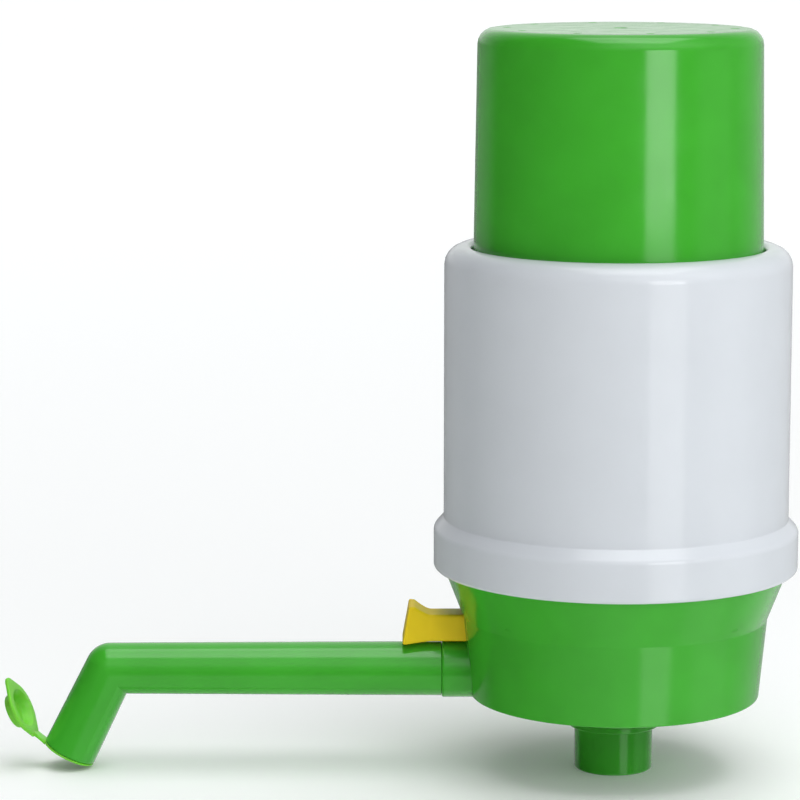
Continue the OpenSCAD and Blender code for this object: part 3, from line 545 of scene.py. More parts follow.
z_boss = z_inner - HEAD_BOSS_H + HEAD_BOSS_CLEAR
head_boss = rod(HEAD_BOSS_R, z_boss, z_inner + BITE, 48)
add(press_cap, around(head_boss, HEAD_SCREW_N, FIRST_HEAD_SCREW, HEAD_SCREW_RING_R))
rib_out = span("bellows")[1][0] - CAP_RIB_SETBACK
rib = brick((rib_out - CAP_RIB_LEN, -WEB_T / 2, z_boss),
            (rib_out, WEB_T / 2, z_inner + BITE), WEB_EDGE)
add(press_cap, around(rib, CAP_RIB_N, FIRST_VENT + 180 / VENT_N))
gusset = brick((cap_radius(z_guide) - GUSSET_SINK, -WEB_T / 2, z_guide + BITE),
               (guide_r - GUSSET_SETBACK, WEB_T / 2, z_stop - BITE), WEB_EDGE)
add(press_cap, around(gusset, GUSSET_N, FIRST_GUSSET))
screw_bore = rod(SCREW_HOLE_R, z_boss - PAST, z_inner)
cut(press_cap, around(screw_bore, HEAD_SCREW_N, FIRST_HEAD_SCREW, HEAD_SCREW_RING_R))
finish_piece(press_cap, "press_head", "green_plastic", "press_cap")

# %% [markdown]
# ## Sleeve
# The white sleeve is one turned part. Its foot carries a raised band, and its top curves in to
# a thin rounded lip that the cap slides through.

# %% Sleeve
z_band = sleeve_low[2]
band_r = sleeve_high[0]
BAND_H = 12.5
BAND_CORNER_H = 9.76
BAND_ROUND = 2.0
STEP_DROP = 0.07
SLEEVE_R = 41.55
SLEEVE_IN_R = 39.35
BAND_IN_R = 41.8
OPENING_R = 35.0
CREST_FILLET = 4.6
CREST_DROP = 0.45
STEP_UP = 11.3
BEAD_UP = 5.5
BEAD_HALF = 1.1
BEAD_TIP = 0.3
BEAD_DEPTH = 0.5

sleeve = turned("outer_sleeve_shell", [
    (BAND_IN_R, z_band, 0.25),
    (band_r, z_band, 1.0),
    (band_r, z_band + BAND_CORNER_H, BAND_ROUND),
    (SLEEVE_R, z_band + BAND_H - STEP_DROP, 0.5),
    (SLEEVE_R, z_crest, CREST_FILLET),
    (OPENING_R, z_crest - CREST_DROP, 1.3),
    (OPENING_R, z_lip, 0.4),
    (SLEEVE_IN_R, z_lip, 0.5),
    (SLEEVE_IN_R, z_band + STEP_UP, 0.2),
    (BAND_IN_R, z_band + STEP_UP, 0.2),
    (BAND_IN_R, z_band + BEAD_UP + BEAD_HALF, 0.2),
    (BAND_IN_R + BEAD_DEPTH, z_band + BEAD_UP + BEAD_TIP, 0.1),
    (BAND_IN_R + BEAD_DEPTH, z_band + BEAD_UP - BEAD_TIP, 0.1),
    (BAND_IN_R, z_band + BEAD_UP - BEAD_HALF, 0.2),
], steps=256)
finish_piece(sleeve, "base", "white_plastic", "outer_sleeve")

# %% [markdown]
# ## Base
# The base is one moulding: a skirt that flares to the rim, a floor with a collar below it and a
# riser above it, the channel to the spout with its round boss, the block that guides the
# button, and the pillars of the deck's screws. Everything round is turned, the rest is added,
# and the bores are cut last, so that each goes through all that it has to.

# %% Base: the turned part
base_low, base_high = span("base_body")
z_collar = base_low[2]
z_rim = base_high[2]
socket_x = -base_low[0]
SEAT_GAP = 0.1
SKIRT_DROP = 1.2
CREASE_DROP = 11.8
LEDGE_DROP = 4.0
z_floor = span("suction_connector")[1][2] + SEAT_GAP
z_skirt = z_floor - SKIRT_DROP
z_crease = z_band - CREASE_DROP
z_ledge = z_band - LEDGE_DROP
SKIRT_R = 35.0
CREASE_R = 36.9
RIM_R = 41.5
RIM_IN_R = 39.4
LEDGE_R = 36.79
BASE_WALL = 2.3
FLOOR_T = 2.0
COLLAR_R = 12.15
COLLAR_IN_R = 9.55
RISER_R = 7.1
RISER_BORE_R = 4.5
CHANNEL_R = 4.8
CHANNEL_BORE_R = 3.3
RIM_BEAD_HALF = 0.8
RIB_RADII = (28.7, 20.3)
RIB_T = 1.0

ribs = [(radius, z, 0.2) for inner in RIB_RADII for radius, z in (
    (inner + RIB_T, z_floor), (inner + RIB_T, z_skirt), (inner, z_skirt), (inner, z_floor))]
base = turned("base_shell", [
    (0, z_axis + CHANNEL_R, 0),
    (RISER_R, z_axis + CHANNEL_R, 0.5),
    (RISER_R, z_floor + FLOOR_T, 0.6),
    (SKIRT_R - BASE_WALL, z_floor + FLOOR_T, 1.2),
    (CREASE_R - BASE_WALL, z_crease, 1.0),
    (LEDGE_R, z_ledge, 0.2),
    (RIM_IN_R, z_ledge, 0.2),
    (RIM_IN_R, z_rim, 0.3),
    (RIM_R, z_rim, 0.6),
    (RIM_R, z_band + BEAD_UP + RIM_BEAD_HALF, 0.2),
    (RIM_R + BEAD_DEPTH, z_band + BEAD_UP, 0.3),
    (RIM_R, z_band + BEAD_UP - RIM_BEAD_HALF, 0.2),
    (RIM_R, z_band, 0.6),
    (CREASE_R, z_crease, 2.5),
    (SKIRT_R, z_skirt, 0.5),
    (SKIRT_R - BASE_WALL, z_skirt, 0.3),
    (SKIRT_R - BASE_WALL, z_floor, 0.3),
    *ribs,
    (COLLAR_R, z_floor, 0.4),
    (COLLAR_R, z_collar, 0.5),
    (COLLAR_IN_R, z_collar, 0.2),
    (COLLAR_IN_R, z_floor, 0.2),
    (RISER_BORE_R, z_floor, 0.2),
    (RISER_BORE_R, z_axis + CHANNEL_BORE_R, 0.3),
    (0, z_axis + CHANNEL_BORE_R, 0),
], closed=False, steps=192)
print("base turned", len(base.data.polygons), "faces")

# %% [markdown]
# The channel and the boss lie along the spout. The block behind the button reaches from the
# channel up to a little above the button, and in from the skirt's wall to the valve's seat.

# %% Base: channel, boss, block and pillars
CHANNEL_START = 1.0
BOSS_R = 7.0
BOSS_ROOT = 28.5
BOSS_EDGE = 0.6
SOCKET_BORE_R = 5.25
SOCKET_BOTTOM = 30.0
GUIDE_HALF = 4.25
GUIDE_HALF_H = 3.5
GUIDE_WALL = 1.9
BLOCK_OUT = 35.25
BLOCK_EDGE = 0.3
SEAT_IN = 26.0
SEAT_OUT = 28.0
DECK_SCREW_N = 4
DECK_SCREW_RING_R = 34.9
FIRST_DECK_SCREW = 45
PILLAR_R = 3.0
PILLAR_H = 6.0

boss = turned("boss", [
    (0, CHANNEL_START, 0),
    (CHANNEL_R, CHANNEL_START, 0.2),
    (CHANNEL_R, BOSS_ROOT, 0.5),
    (BOSS_R, BOSS_ROOT, 0.3),
    (BOSS_R, socket_x, BOSS_EDGE),
    (0, socket_x, 0),
], closed=False, steps=96, place=along_spout)
combine(base, boss, "UNION")

half = GUIDE_HALF + GUIDE_WALL
block_top = z_button + GUIDE_HALF_H + GUIDE_WALL
block = brick((-BLOCK_OUT, -half, z_axis + CHANNEL_BORE_R), (-SEAT_IN, half, block_top), BLOCK_EDGE)
add(base, block)

pillar = rod(PILLAR_R, z_ledge - PILLAR_H, z_ledge)
add(base, around(pillar, DECK_SCREW_N, FIRST_DECK_SCREW, DECK_SCREW_RING_R))
print("base with its additions", len(base.data.polygons), "faces")

# %% [markdown]
# The bores follow the same axes as what they go through. The fork's slot ends inside the skirt's
# wall, so that the wall stays whole outside.

# %% Base: bores and openings
PORT_N = 4
PORT_R = 2.2
PORT_RING_R = 16.0
FIRST_PORT = 45
FORK_SLOT = (33.25, 34.42)
FORK_SLOT_HALF = 5.85
FORK_SLOT_TOP = 2.9
FORK_SLOT_EDGE = 0.1
VALVE_HOLE_R = 2.5
GUIDE_EDGE = 0.4
GUIDE_PAST = 5
MOUTH_BEVEL = 0.5
MOUTH_OVER = 0.1

bore = turned("bore", [
    (0, -PAST, 0),
    (CHANNEL_BORE_R, -PAST, 0.1),
    (CHANNEL_BORE_R, SOCKET_BOTTOM, 0.2),
    (SOCKET_BORE_R, SOCKET_BOTTOM, 0.2),
    (SOCKET_BORE_R, socket_x + MOUTH_OVER - MOUTH_BEVEL, 0.2),
    (SOCKET_BORE_R + MOUTH_BEVEL, socket_x + MOUTH_OVER, 0.1),
    (0, socket_x + MOUTH_OVER, 0),
], closed=False, steps=96, place=along_spout)
combine(base, bore, "DIFFERENCE")

cut(base, rod(RISER_BORE_R, z_floor - PAST, z_axis + CHANNEL_BORE_R, 64))

screw_hole = rod(SCREW_HOLE_R, z_ledge - PILLAR_H + PAST, z_ledge + PAST)
port = rod(PORT_R, z_floor - PAST, z_floor + FLOOR_T + PAST)
cut(base, np.concatenate([around(screw_hole, DECK_SCREW_N, FIRST_DECK_SCREW, DECK_SCREW_RING_R),
                          around(port, PORT_N, FIRST_PORT, PORT_RING_R)]))

guide = brick((-BLOCK_OUT - GUIDE_PAST, -GUIDE_HALF, z_button - GUIDE_HALF_H),
              (-SEAT_OUT, GUIDE_HALF, z_button + GUIDE_HALF_H), GUIDE_EDGE)
slot = brick((-FORK_SLOT[1], -FORK_SLOT_HALF, z_collar - PAST),
             (-FORK_SLOT[0], FORK_SLOT_HALF, z_axis + FORK_SLOT_TOP), FORK_SLOT_EDGE)
cut(base, np.stack([guide, slot]))
cut(base, along_button(rod(VALVE_HOLE_R, SEAT_IN - PAST, SEAT_OUT + PAST, 48)))
finish_piece(base, "base", "green_plastic", "base_body")

# %% [markdown]
# ## Suction connector and jug gasket
# The connector is a turned socket that plugs into the collar under the base, with a shelf that
# stops it and a groove for its ring. The gasket is the soft flat ring that the jug's rim
# presses into.

# %% Suction connector
CONNECTOR_R = 9.5
SUCTION_BORE_R = 7.0
SUCTION_DEPTH = 17.0
SHELF_R = 11.1
SHELF_T = 1.5
RING_GROOVE = (15.1, 16.5)
RING_GROOVE_R = 8.3

connector_top = z_floor - SEAT_GAP
shelf_top = z_collar - SEAT_GAP
connector = turned("suction_connector_socket", [
    (SUCTION_BORE_R, 0, 0.4),
    (CONNECTOR_R, 0, 0.6),
    (CONNECTOR_R, shelf_top - SHELF_T, 0.3),
    (SHELF_R, shelf_top - SHELF_T, 0.3),
    (SHELF_R, shelf_top, 0.3),
    (CONNECTOR_R, shelf_top, 0.2),
    (CONNECTOR_R, RING_GROOVE[0], 0.1),
    (RING_GROOVE_R, RING_GROOVE[0], 0.1),
    (RING_GROOVE_R, RING_GROOVE[1], 0.1),
    (CONNECTOR_R, RING_GROOVE[1], 0.1),
    (CONNECTOR_R, connector_top, 0.3),
    (RISER_BORE_R, connector_top, 0.2),
    (RISER_BORE_R, SUCTION_DEPTH, 0.2),
    (SUCTION_BORE_R, SUCTION_DEPTH, 0.2),
], steps=128)
finish_piece(connector, "base", "green_plastic", "suction_connector")

# %% Jug gasket
gasket_low, gasket_high = span("jug_gasket")
GASKET_W = 7.0
out_r = gasket_high[0]
in_r = out_r - GASKET_W
gasket = turned("jug_gasket_ring", [
    (in_r, gasket_low[2], 0.35),
    (out_r, gasket_low[2], 0.35),
    (out_r, gasket_high[2], 0.2),
    (in_r, gasket_high[2], 0.2),
], steps=160)
finish_piece(gasket, "base", "rubber", "jug_gasket")

# %% [markdown]
# ## Bellows
# The bellows is a folded bag of soft milky plastic. Its folds are a zigzag line with round tips, carried round the
# axis. In use the cap presses it together towards its foot; here it is one fixed shape that stays with the base.

# %% Bellows
bellows_low, bellows_high = span("bellows")
z_foot, z_bag_top = bellows_low[2], bellows_high[2]
foot_r = bellows_high[0]
FOLD_N = 12
FOLD_OUT_R = 28.6
FOLD_IN_R = 23.0
FOLD_HALF_T = 0.65
FOLD_ROUND = 1.2
TOP_SETBACK = 0.4
FOOT_T = 1.2
NECK_R = 8.1
SCREW_PLAY = 0.15
SCREW_WAY_LEN = 3

fold_z = np.linspace(z_foot + FOOT_T, z_bag_top - FOOT_T, 2 * FOLD_N)
fold_r = np.where(np.arange(2 * FOLD_N) % 2 == 0, FOLD_IN_R, FOLD_OUT_R)
outside = [(r + FOLD_HALF_T, z, FOLD_ROUND) for r, z in zip(fold_r, fold_z)]
inside = [(r - FOLD_HALF_T, z, FOLD_ROUND) for r, z in zip(fold_r, fold_z)][::-1]
outside[0] = (FOLD_IN_R + FOLD_HALF_T, fold_z[0], 0.3)
outside[-1] = (FOLD_OUT_R + FOLD_HALF_T, fold_z[-1], 0.4)
inside[0] = (FOLD_OUT_R - FOLD_HALF_T, fold_z[-1], 0.3)
inside[-1] = (FOLD_IN_R - FOLD_HALF_T, fold_z[0], 0.3)
bellows = turned("bellows_bag", [
    (FOLD_IN_R - FOLD_HALF_T, z_foot, 0.2),
    (foot_r, z_foot, 0.2),
    (foot_r, z_foot + FOOT_T, 0.3),
    *outside,
    (FOLD_OUT_R - TOP_SETBACK, z_bag_top, 0.3),
    (NECK_R, z_bag_top, 0.3),
    (NECK_R, z_bag_top - FOOT_T, 0.3),
    *inside,
], steps=128)
screw_way = rod(SCREW_HOLE_R + SCREW_PLAY, z_bag_top - SCREW_WAY_LEN, z_bag_top + PAST)
cut(bellows, around(screw_way, HEAD_SCREW_N, FIRST_HEAD_SCREW, HEAD_SCREW_RING_R))
finish_piece(bellows, "base", "natural_plastic", "bellows")

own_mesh(bellows)

# %% [markdown]
# ## Springs
# A coil spring is a round wire carried along a helix. Its end turns lie close together, and the
# open turns between them share the rest of the length.

# %% Springs


def coil(radius, low, high, wire, turns, end_pitch, sides=12, rings=28):
    """Points of a round wire along a helix about the Z axis, at height z(t) after t turns. The
    first and last turn rise by end_pitch. A ring lies across the wire, in the plane of the
    outward direction and Z, and the ends close at the wire's centre."""
    t = np.linspace(0, turns + 2, int((turns + 2) * rings) + 1)
    z = np.interp(t, [0, 1, turns + 1, turns + 2],
                  [low + wire, low + wire + end_pitch, high - wire - end_pitch, high - wire])
    a = 2 * np.pi * t[:, None]
    b = np.arange(sides) * 2 * np.pi / sides
    thick = np.concatenate([[0], np.full(len(t), wire), [0]])[:, None]
    rows = np.concatenate([[0], np.arange(len(t)), [len(t) - 1]])
    reach = radius + thick * np.cos(b)
    x, y = reach * np.cos(a[rows]), reach * np.sin(a[rows])
    return np.stack([x, y, z[rows][:, None] + thick * np.sin(b)], axis=-1)


spring_low, spring_high = span("return_spring")
RETURN_R = 18.6
RETURN_WIRE = 0.9
RETURN_TURNS = 11
RETURN_GAP = 0.6
return_points = coil(RETURN_R, spring_low[2], spring_high[2], RETURN_WIRE, RETURN_TURNS,
                     2 * RETURN_WIRE + RETURN_GAP)
return_spring = grid_piece("return_spring_coil", return_points, wrap_rows=False)
finish_piece(return_spring, "base", "steel", "return_spring")
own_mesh(return_spring)

small_low, small_high = span("release_spring")
RELEASE_R = 2.85
RELEASE_WIRE = 0.22
RELEASE_TURNS = 2
RELEASE_GAP = 0.45
release_points = coil(RELEASE_R, -small_high[0], -small_low[0], RELEASE_WIRE, RELEASE_TURNS,
                      2 * RELEASE_WIRE + RELEASE_GAP)
release_spring = grid_piece("release_spring_coil", along_button(release_points), wrap_rows=False)
finish_piece(release_spring, "base", "steel", "release_spring")
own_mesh(release_spring)

# %% [markdown]
# ## Spout
# The spout is a tapered tube with a bend. On its outer side the bend is round like a ball, and
# on its inner side the two tubes meet in a crisp crease. Both come from one rule: the outline
# is carried along the bent centre line, and where the inner side would cross itself, it stops
# at the line where the two tubes meet.

# %% Spout
TAIL_END = 30.3
TAIL_R = 5.2
ROOT_GAP = 0.06
ROOT_R = 6.6
ELBOW_R = 6.2
MOUTH_R = 6.55
SPOUT_BORE_R = 4.8
MOUTH_BORE_R = 5.4
MOUTH_BORE_LEN = 13.65
NECK_LEN = 4.0
GROOVES = ((33.3, 34.7, 4.3), (36.3, 37.7, 4.0), (38.9, 40.3, 4.0))
FAN_STEPS = 24
SPOUT_STEPS = 96

bend = math.acos(-mouth_out[0])
nozzle_len = (z_axis - mouth_at[2]) / -mouth_out[2]
reach = -mouth_at[0] + nozzle_len * mouth_out[0]
root = socket_x + ROOT_GAP
tip = reach + nozzle_len


def leg(corners, turn):
    """Rows (distance past the elbow, radius, turn) of an outline along one straight leg."""
    points = rounded(corners, closed=False)
    return np.column_stack([points[:, 0] - reach, points[:, 1], np.full(len(points), turn)])


def fan(radius, turns):
    """Rows of the round outer side of the elbow."""
    return np.column_stack([np.zeros(len(turns)), np.full(len(turns), radius), turns])


def bent(rows, steps):
    """A ring of radius r at each row, round the bent centre line. With o = r cos a towards the
    outer side and y = r sin a across, and the directions d and n of the centre line and of the
    outer side after that turn, a point is elbow + along d + o n + y. Where o is negative, the
    first leg stops at -|o| tan(bend / 2) and the second starts at +|o| tan(bend / 2)."""
    along, radius, turn = (column[:, None] for column in rows.T)
    a = np.arange(steps) * 2 * np.pi / steps
    out, side = radius * np.cos(a), radius * np.sin(a)
    meet = -out * math.tan(bend / 2)
    second = turn >= bend
    inner = out < 0
    turn = np.where(inner & ~second, 0, turn)
    along = np.where(inner, np.where(second, np.maximum(along, meet), np.minimum(along, -meet)), along)
    x = -reach - along * np.cos(turn) - out * np.sin(turn)
    z = z_axis - along * np.sin(turn) + out * np.cos(turn)
    return np.stack([x, side, z], axis=-1)


grooves = [(s, r, 0.12) for start, end, low in GROOVES
           for s, r in ((start, TAIL_R), (start, low), (end, low), (end, TAIL_R))]
outer_root = leg([
    (TAIL_END, CHANNEL_BORE_R, 0),
    (TAIL_END, TAIL_R, 0.4),
    *grooves,
    (root, TAIL_R, 0.1),
    (root, ROOT_R, 0.12),
    (reach, ELBOW_R, 0),
], 0.0)
nozzle = leg([
    (reach, ELBOW_R, 0),
    (tip, MOUTH_R, 0.6),
    (tip, MOUTH_BORE_R, 0.2),
    (tip - MOUTH_BORE_LEN, MOUTH_BORE_R, 0.2),
    (tip - MOUTH_BORE_LEN, SPOUT_BORE_R, 0.1),
    (reach, SPOUT_BORE_R, 0),
], bend)
inner_root = leg([
    (reach, SPOUT_BORE_R, 0),
    (root + NECK_LEN, SPOUT_BORE_R, 0.2),
    (root + NECK_LEN, CHANNEL_BORE_R, 0.2),
    (TAIL_END, CHANNEL_BORE_R, 0),
], 0.0)
turns = np.linspace(0, bend, FAN_STEPS)[1:-1]
spout_rows = np.vstack([outer_root, fan(ELBOW_R, turns), nozzle,
                        fan(SPOUT_BORE_R, turns[::-1]), inner_root])
spout = grid_piece("spout_tube", bent(spout_rows, SPOUT_STEPS))
finish_piece(spout, "spout_arm", "green_plastic", "spout")

# %% [markdown]
# ## Spout fork
# A flat fork is pushed up through a slot in the base and holds the spout's tail by its groove.
# It is a plate with a round notch that is open at the top, in the base's colour, and it ends
# a little above the skirt's lower edge.

# %% Spout fork
FORK_T = 1.0
FORK_HALF = 5.65
FORK_TOP = 2.7
FORK_UP = 0.3
FORK_EDGE = 0.15
FORK_NOTCH_R = 4.35

fork_x = -(FORK_SLOT[0] + FORK_SLOT[1]) / 2
fork_points = brick((fork_x - FORK_T / 2, -FORK_HALF, z_skirt + FORK_UP),
                    (fork_x + FORK_T / 2, FORK_HALF, z_axis + FORK_TOP), FORK_EDGE)
fork = grid_piece("spout_fork_plate", fork_points, wrap_rows=False)
cut(fork, along_spout(rod(FORK_NOTCH_R, -fork_x - FORK_T, -fork_x + FORK_T, 96)))
cut(fork, brick((fork_x - FORK_T, -FORK_NOTCH_R, z_axis),
                (fork_x + FORK_T, FORK_NOTCH_R, z_axis + FORK_TOP + PAST), FORK_SLOT_EDGE))
finish_piece(fork, "base", "green_plastic", "spout_fork")

# %% [markdown]
# ## Release button
# The button is a yellow bar that flares to a head for the finger. The head's face leans back,
# and its top rises in a curve to a thin tip. The round valve pin sticks out of its inner end.

# %% Release button
knob_low, knob_high = span("release_knob")
STEM_HALF = 4.0
STEM_HALF_H = 3.25
STEM_DROP = 0.12
STEM_END = 33.5
STEM_EDGE = 0.4
STEM_ROWS = 6
HEAD_LEN = 6.7
HEAD_SPREAD = 1.5
SPREAD_POWER = 1.5
HEAD_RISE = 2.1
RISE_POWER = 1.35
HEAD_DIP = 0.65
HEAD_LEAN = 1.5
HEAD_STEPS = 18
EDGE_STEPS = 6
CREST_BACK = 1.4
KNOB_EDGE = 0.6
KNOB_ROUND = 0.7
KNOB_SHARP = 40
PIN_R = 1.8
PIN_SINK = 1
CLIP_GROOVE = (22.9, 23.6)
CLIP_GROOVE_R = 1.3

pin_end = -knob_high[0]
head_end = -knob_low[0]
flare = head_end - HEAD_LEN
z_stem = z_button - STEM_HALF_H - STEM_DROP
z_stem_top = z_button + STEM_HALF_H
# The stem's far end stays open: its rows stop where the head goes on
stem_x, stem_draw = (values[:STEM_ROWS] for values in eased(STEM_END, flare, STEM_EDGE))
a = np.linspace(0, np.pi / 2, EDGE_STEPS + 1)[1:]
head_x = np.concatenate([np.linspace(flare, head_end - KNOB_EDGE, HEAD_STEPS),
                         head_end - KNOB_EDGE * (1 - np.sin(a))])
head_draw = np.concatenate([np.zeros(HEAD_STEPS), KNOB_EDGE * (1 - np.cos(a))])
t = (head_x - flare) / HEAD_LEN
crest = HEAD_LEN - HEAD_LEAN - CREST_BACK
rise = HEAD_RISE * np.minimum(1, t * (HEAD_LEN - HEAD_LEAN) / crest) ** RISE_POWER
head_half = STEM_HALF + HEAD_SPREAD * t ** SPREAD_POWER - head_draw
head = bar(head_x, head_half, z_stem - HEAD_DIP * t + head_draw, z_stem_top + rise - head_draw,
           KNOB_ROUND - head_draw, -HEAD_LEAN * t)
stem = bar(stem_x, STEM_HALF - stem_draw, z_stem + stem_draw, z_stem_top - stem_draw,
           KNOB_ROUND - stem_draw)
knob_points = np.concatenate([stem[:-1], head[1:]]) * np.array([-1, 1, 1])
knob = grid_piece("release_knob_moulding", knob_points, wrap_rows=False, sharp=KNOB_SHARP)
pin = turned("pin", [
    (0, pin_end, 0),
    (PIN_R, pin_end, 0.3),
    (PIN_R, CLIP_GROOVE[0], 0.05),
    (CLIP_GROOVE_R, CLIP_GROOVE[0], 0.05),
    (CLIP_GROOVE_R, CLIP_GROOVE[1], 0.05),
    (PIN_R, CLIP_GROOVE[1], 0.05),
    (PIN_R, STEM_END + PIN_SINK, 0.1),
    (0, STEM_END + PIN_SINK, 0),
], closed=False, steps=48, place=along_button)
combine(knob, pin, "UNION", sharp=KNOB_SHARP)
finish_piece(knob, "release_button", "yellow_plastic", "release_knob")

# %% [markdown]
# ## Dust cap
# The dust cap is one soft moulding in three places: a thin ring that stays in the spout's
# mouth, a lid with a hollow plug and a pull tab, and the strap between them. It is drawn closed
# in the mouth's frame, and the lid is then swung open about its hinge line.

# %% Dust cap: ring and lid
hinge = joints["dust_cap_hinge"]
hinge_at = np.array(hinge["pos_m"]) / MM
lid_open = hinge["range_deg"][1]
LINER_FLANGE_T = 0.5
LINER_LEN = 2.6
LINER_R = 5.35
LINER_T = 0.4
LID_R = 6.5
LID_T = 1.2
LID_Z = 0.7
PLUG_LEN = 1.8
PLUG_R = 4.7
PLUG_TIP_R = 4.1
PLUG_WALL = 0.65
RIM_T = 0.75
RECESS_R = 4.8
RECESS_FOOT = 0.2
TAB_AT = 6.2
TAB_R = 2.1
ROOT_TURN = 46
STRAP_HALF = 2.0
EDGE_BAND = 0.6
TIP_STEPS = 40
DISC_STEPS = 60
LINE_STEPS = 39


def swung_open(points):
    """The lid's place when it is open: the closed one, turned back about the hinge line."""
    return turned_about(points, hinge_at, hinge["axis"], -lid_open)


def drawn_out(points):
    """The lid's outline: a disc that is drawn out to a round tab on one side and narrows to the
    strap on the other. The two straight lines beside the tab touch both the disc and the
    tab's circle, at the angle whose cosine is the difference of their radii over their distance.
    Each point beyond the recess is moved along its own radius."""
    touch = math.acos((LID_R - TAB_R) / TAB_AT)
    a = np.linspace(0, touch, TIP_STEPS)
    tip = np.column_stack([-TAB_AT - TAB_R * np.cos(a), TAB_R * np.sin(a)])
    turn = math.radians(ROOT_TURN)
    a = np.linspace(math.pi - touch, turn, DISC_STEPS)
    disc = LID_R * np.column_stack([np.cos(a), np.sin(a)])
    root_end = disc[-1, 0] + (disc[-1, 1] - STRAP_HALF) * math.tan(turn)
    line = np.concatenate([tip, disc, [(root_end, STRAP_HALF), (root_end, 0)]])
    share = np.linspace(0, 1, LINE_STEPS + 1)[:-1, None]
    line = np.concatenate([a + (b - a) * share for a, b in zip(line[:-1], line[1:])] + [line[-1:]])
    line_turn = np.arctan2(line[:, 1], line[:, 0])
    reach = np.hypot(*line.T)
    order = np.argsort(line_turn)
    own_turn = np.abs(np.arctan2(points[..., 1], points[..., 0]))
    stretch = np.interp(own_turn, line_turn[order], reach[order]) / LID_R
    outer = np.hypot(points[..., 0], points[..., 1]) > LID_R - EDGE_BAND
    scale = np.stack([stretch, stretch, 1 + 0 * stretch], axis=-1)
    return points * np.where(outer[..., None], scale, 1)


liner = turned("dust_cap_liner_ring", [
    (LINER_R - LINER_T, -LINER_LEN, 0.1),
    (LINER_R, -LINER_LEN, 0.1),
    (LINER_R, 0, 0.05),
    (LID_R, 0, 0.15),
    (LID_R, LINER_FLANGE_T, 0.2),
    (LINER_R - LINER_T, LINER_FLANGE_T, 0.2),
], steps=96, place=at_mouth)
finish_piece(liner, "spout_arm", "soft_green_plastic", "dust_cap_liner")

lid = turned("dust_cap_lid_moulding", [
    (0, LID_Z - PLUG_LEN + PLUG_WALL, 0),
    (PLUG_TIP_R - PLUG_WALL, LID_Z - PLUG_LEN + PLUG_WALL, 0.5),
    (PLUG_R - PLUG_WALL, LID_Z + RECESS_FOOT, 0.4),
    (RECESS_R, LID_Z + LID_T, 0.3),
    (LID_R, LID_Z + LID_T, 0.25),
    (LID_R, LID_Z + LID_T - RIM_T, 0.25),
    (PLUG_R, LID_Z, 0.15),
    (PLUG_TIP_R, LID_Z - PLUG_LEN, 0.4),
    (0, LID_Z - PLUG_LEN, 0),
], closed=False, steps=288, place=lambda points: swung_open(at_mouth(drawn_out(points))))
finish_piece(lid, "dust_cap", "soft_green_plastic", "dust_cap_lid")

# %% [markdown]
# The strap is a thin flat band, thinnest in the middle where it bends. It runs straight from the ring's edge to
# the open lid's edge, and is given to neither the spout's body nor the lid's.

# %% Dust cap: strap
STRAP_HALF_T = 0.45
STRAP_THIN = 0.1
STRAP_SINK = 0.3
STRAP_EDGE = 0.25
STRAP_STEPS = 30

strap_from = at_mouth(np.array([LID_R - STRAP_SINK, 0, LINER_FLANGE_T / 2]))
strap_to = swung_open(at_mouth(np.array([LID_R, 0, LID_Z + LID_T / 2]))) * np.array([1, 0, 1])
strap_run = strap_to - strap_from
strap_len = np.linalg.norm(strap_run)
strap_dir = strap_run / strap_len
place_strap = placed(strap_from, strap_dir, np.cross(strap_dir, (0, 1, 0)))
strap_x = np.linspace(0, strap_len, STRAP_STEPS)
half_t = STRAP_HALF_T - STRAP_THIN * np.sin(np.pi * strap_x / strap_len)
strap_points = place_strap(bar(strap_x, STRAP_HALF, -half_t, half_t, STRAP_EDGE))
strap = grid_piece("dust_cap_strap_band", strap_points, wrap_rows=False)
finish_piece(strap, None, "soft_green_plastic", "dust_cap_strap")
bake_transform(strap)
print("strap", round(float(strap_len), 2), "mm long")

# %% [markdown]
# ## Hidden parts
# Valves, seals, screws, rings and the deck keep the shapes of their solids. They show only
# when the pump is taken apart, but each still gets the finish of its material.

# %% Hidden parts
HIDDEN = {
    "white_plastic": ["valve_deck", "bellows_clamp", "intake_valve", "release_washer"],
    "rubber": ["connector_o_ring", "deck_seal", "outlet_flap", "intake_flap", "release_seal",
               "spout_o_rings"],
    "steel": ["deck_screws", "head_screws", "release_clip"],
}
for slot, names in HIDDEN.items():
    for name in names:
        nodes[name].data.materials.clear()
        nodes[name].data.materials.append(finishes[slot])
print(sum(len(names) for names in HIDDEN.values()), "hidden nodes")

# %% [markdown]
# ## Floor and backdrop
# A pale floor reaches past the view, as in a small photo studio, and a pale dome closes the
# view above it. The dome is there for the camera alone. The floor is left out of reflections,
# so that the glossy plastic mirrors the room below instead, which is easier to shape.

# %% Floor and backdrop
FLOOR_HALF = 8.0
FLOOR_GRAIN_SIZE = 2
FLOOR_GRAIN_DEPTH = 0.02
FLOOR_COLOUR = (0.94, 0.94, 0.935, 1)
GLOW_COLOUR = (0.98, 0.99, 1, 1)
# The floor shines a little by itself: its glow at the distances NEAR and FAR, in metres
FLOOR_GLOW = (0.075, 0.135)
NEAR = 0.3
FAR = 1.2
DOME_R = 7.9
DOME_GLOW = 1.05

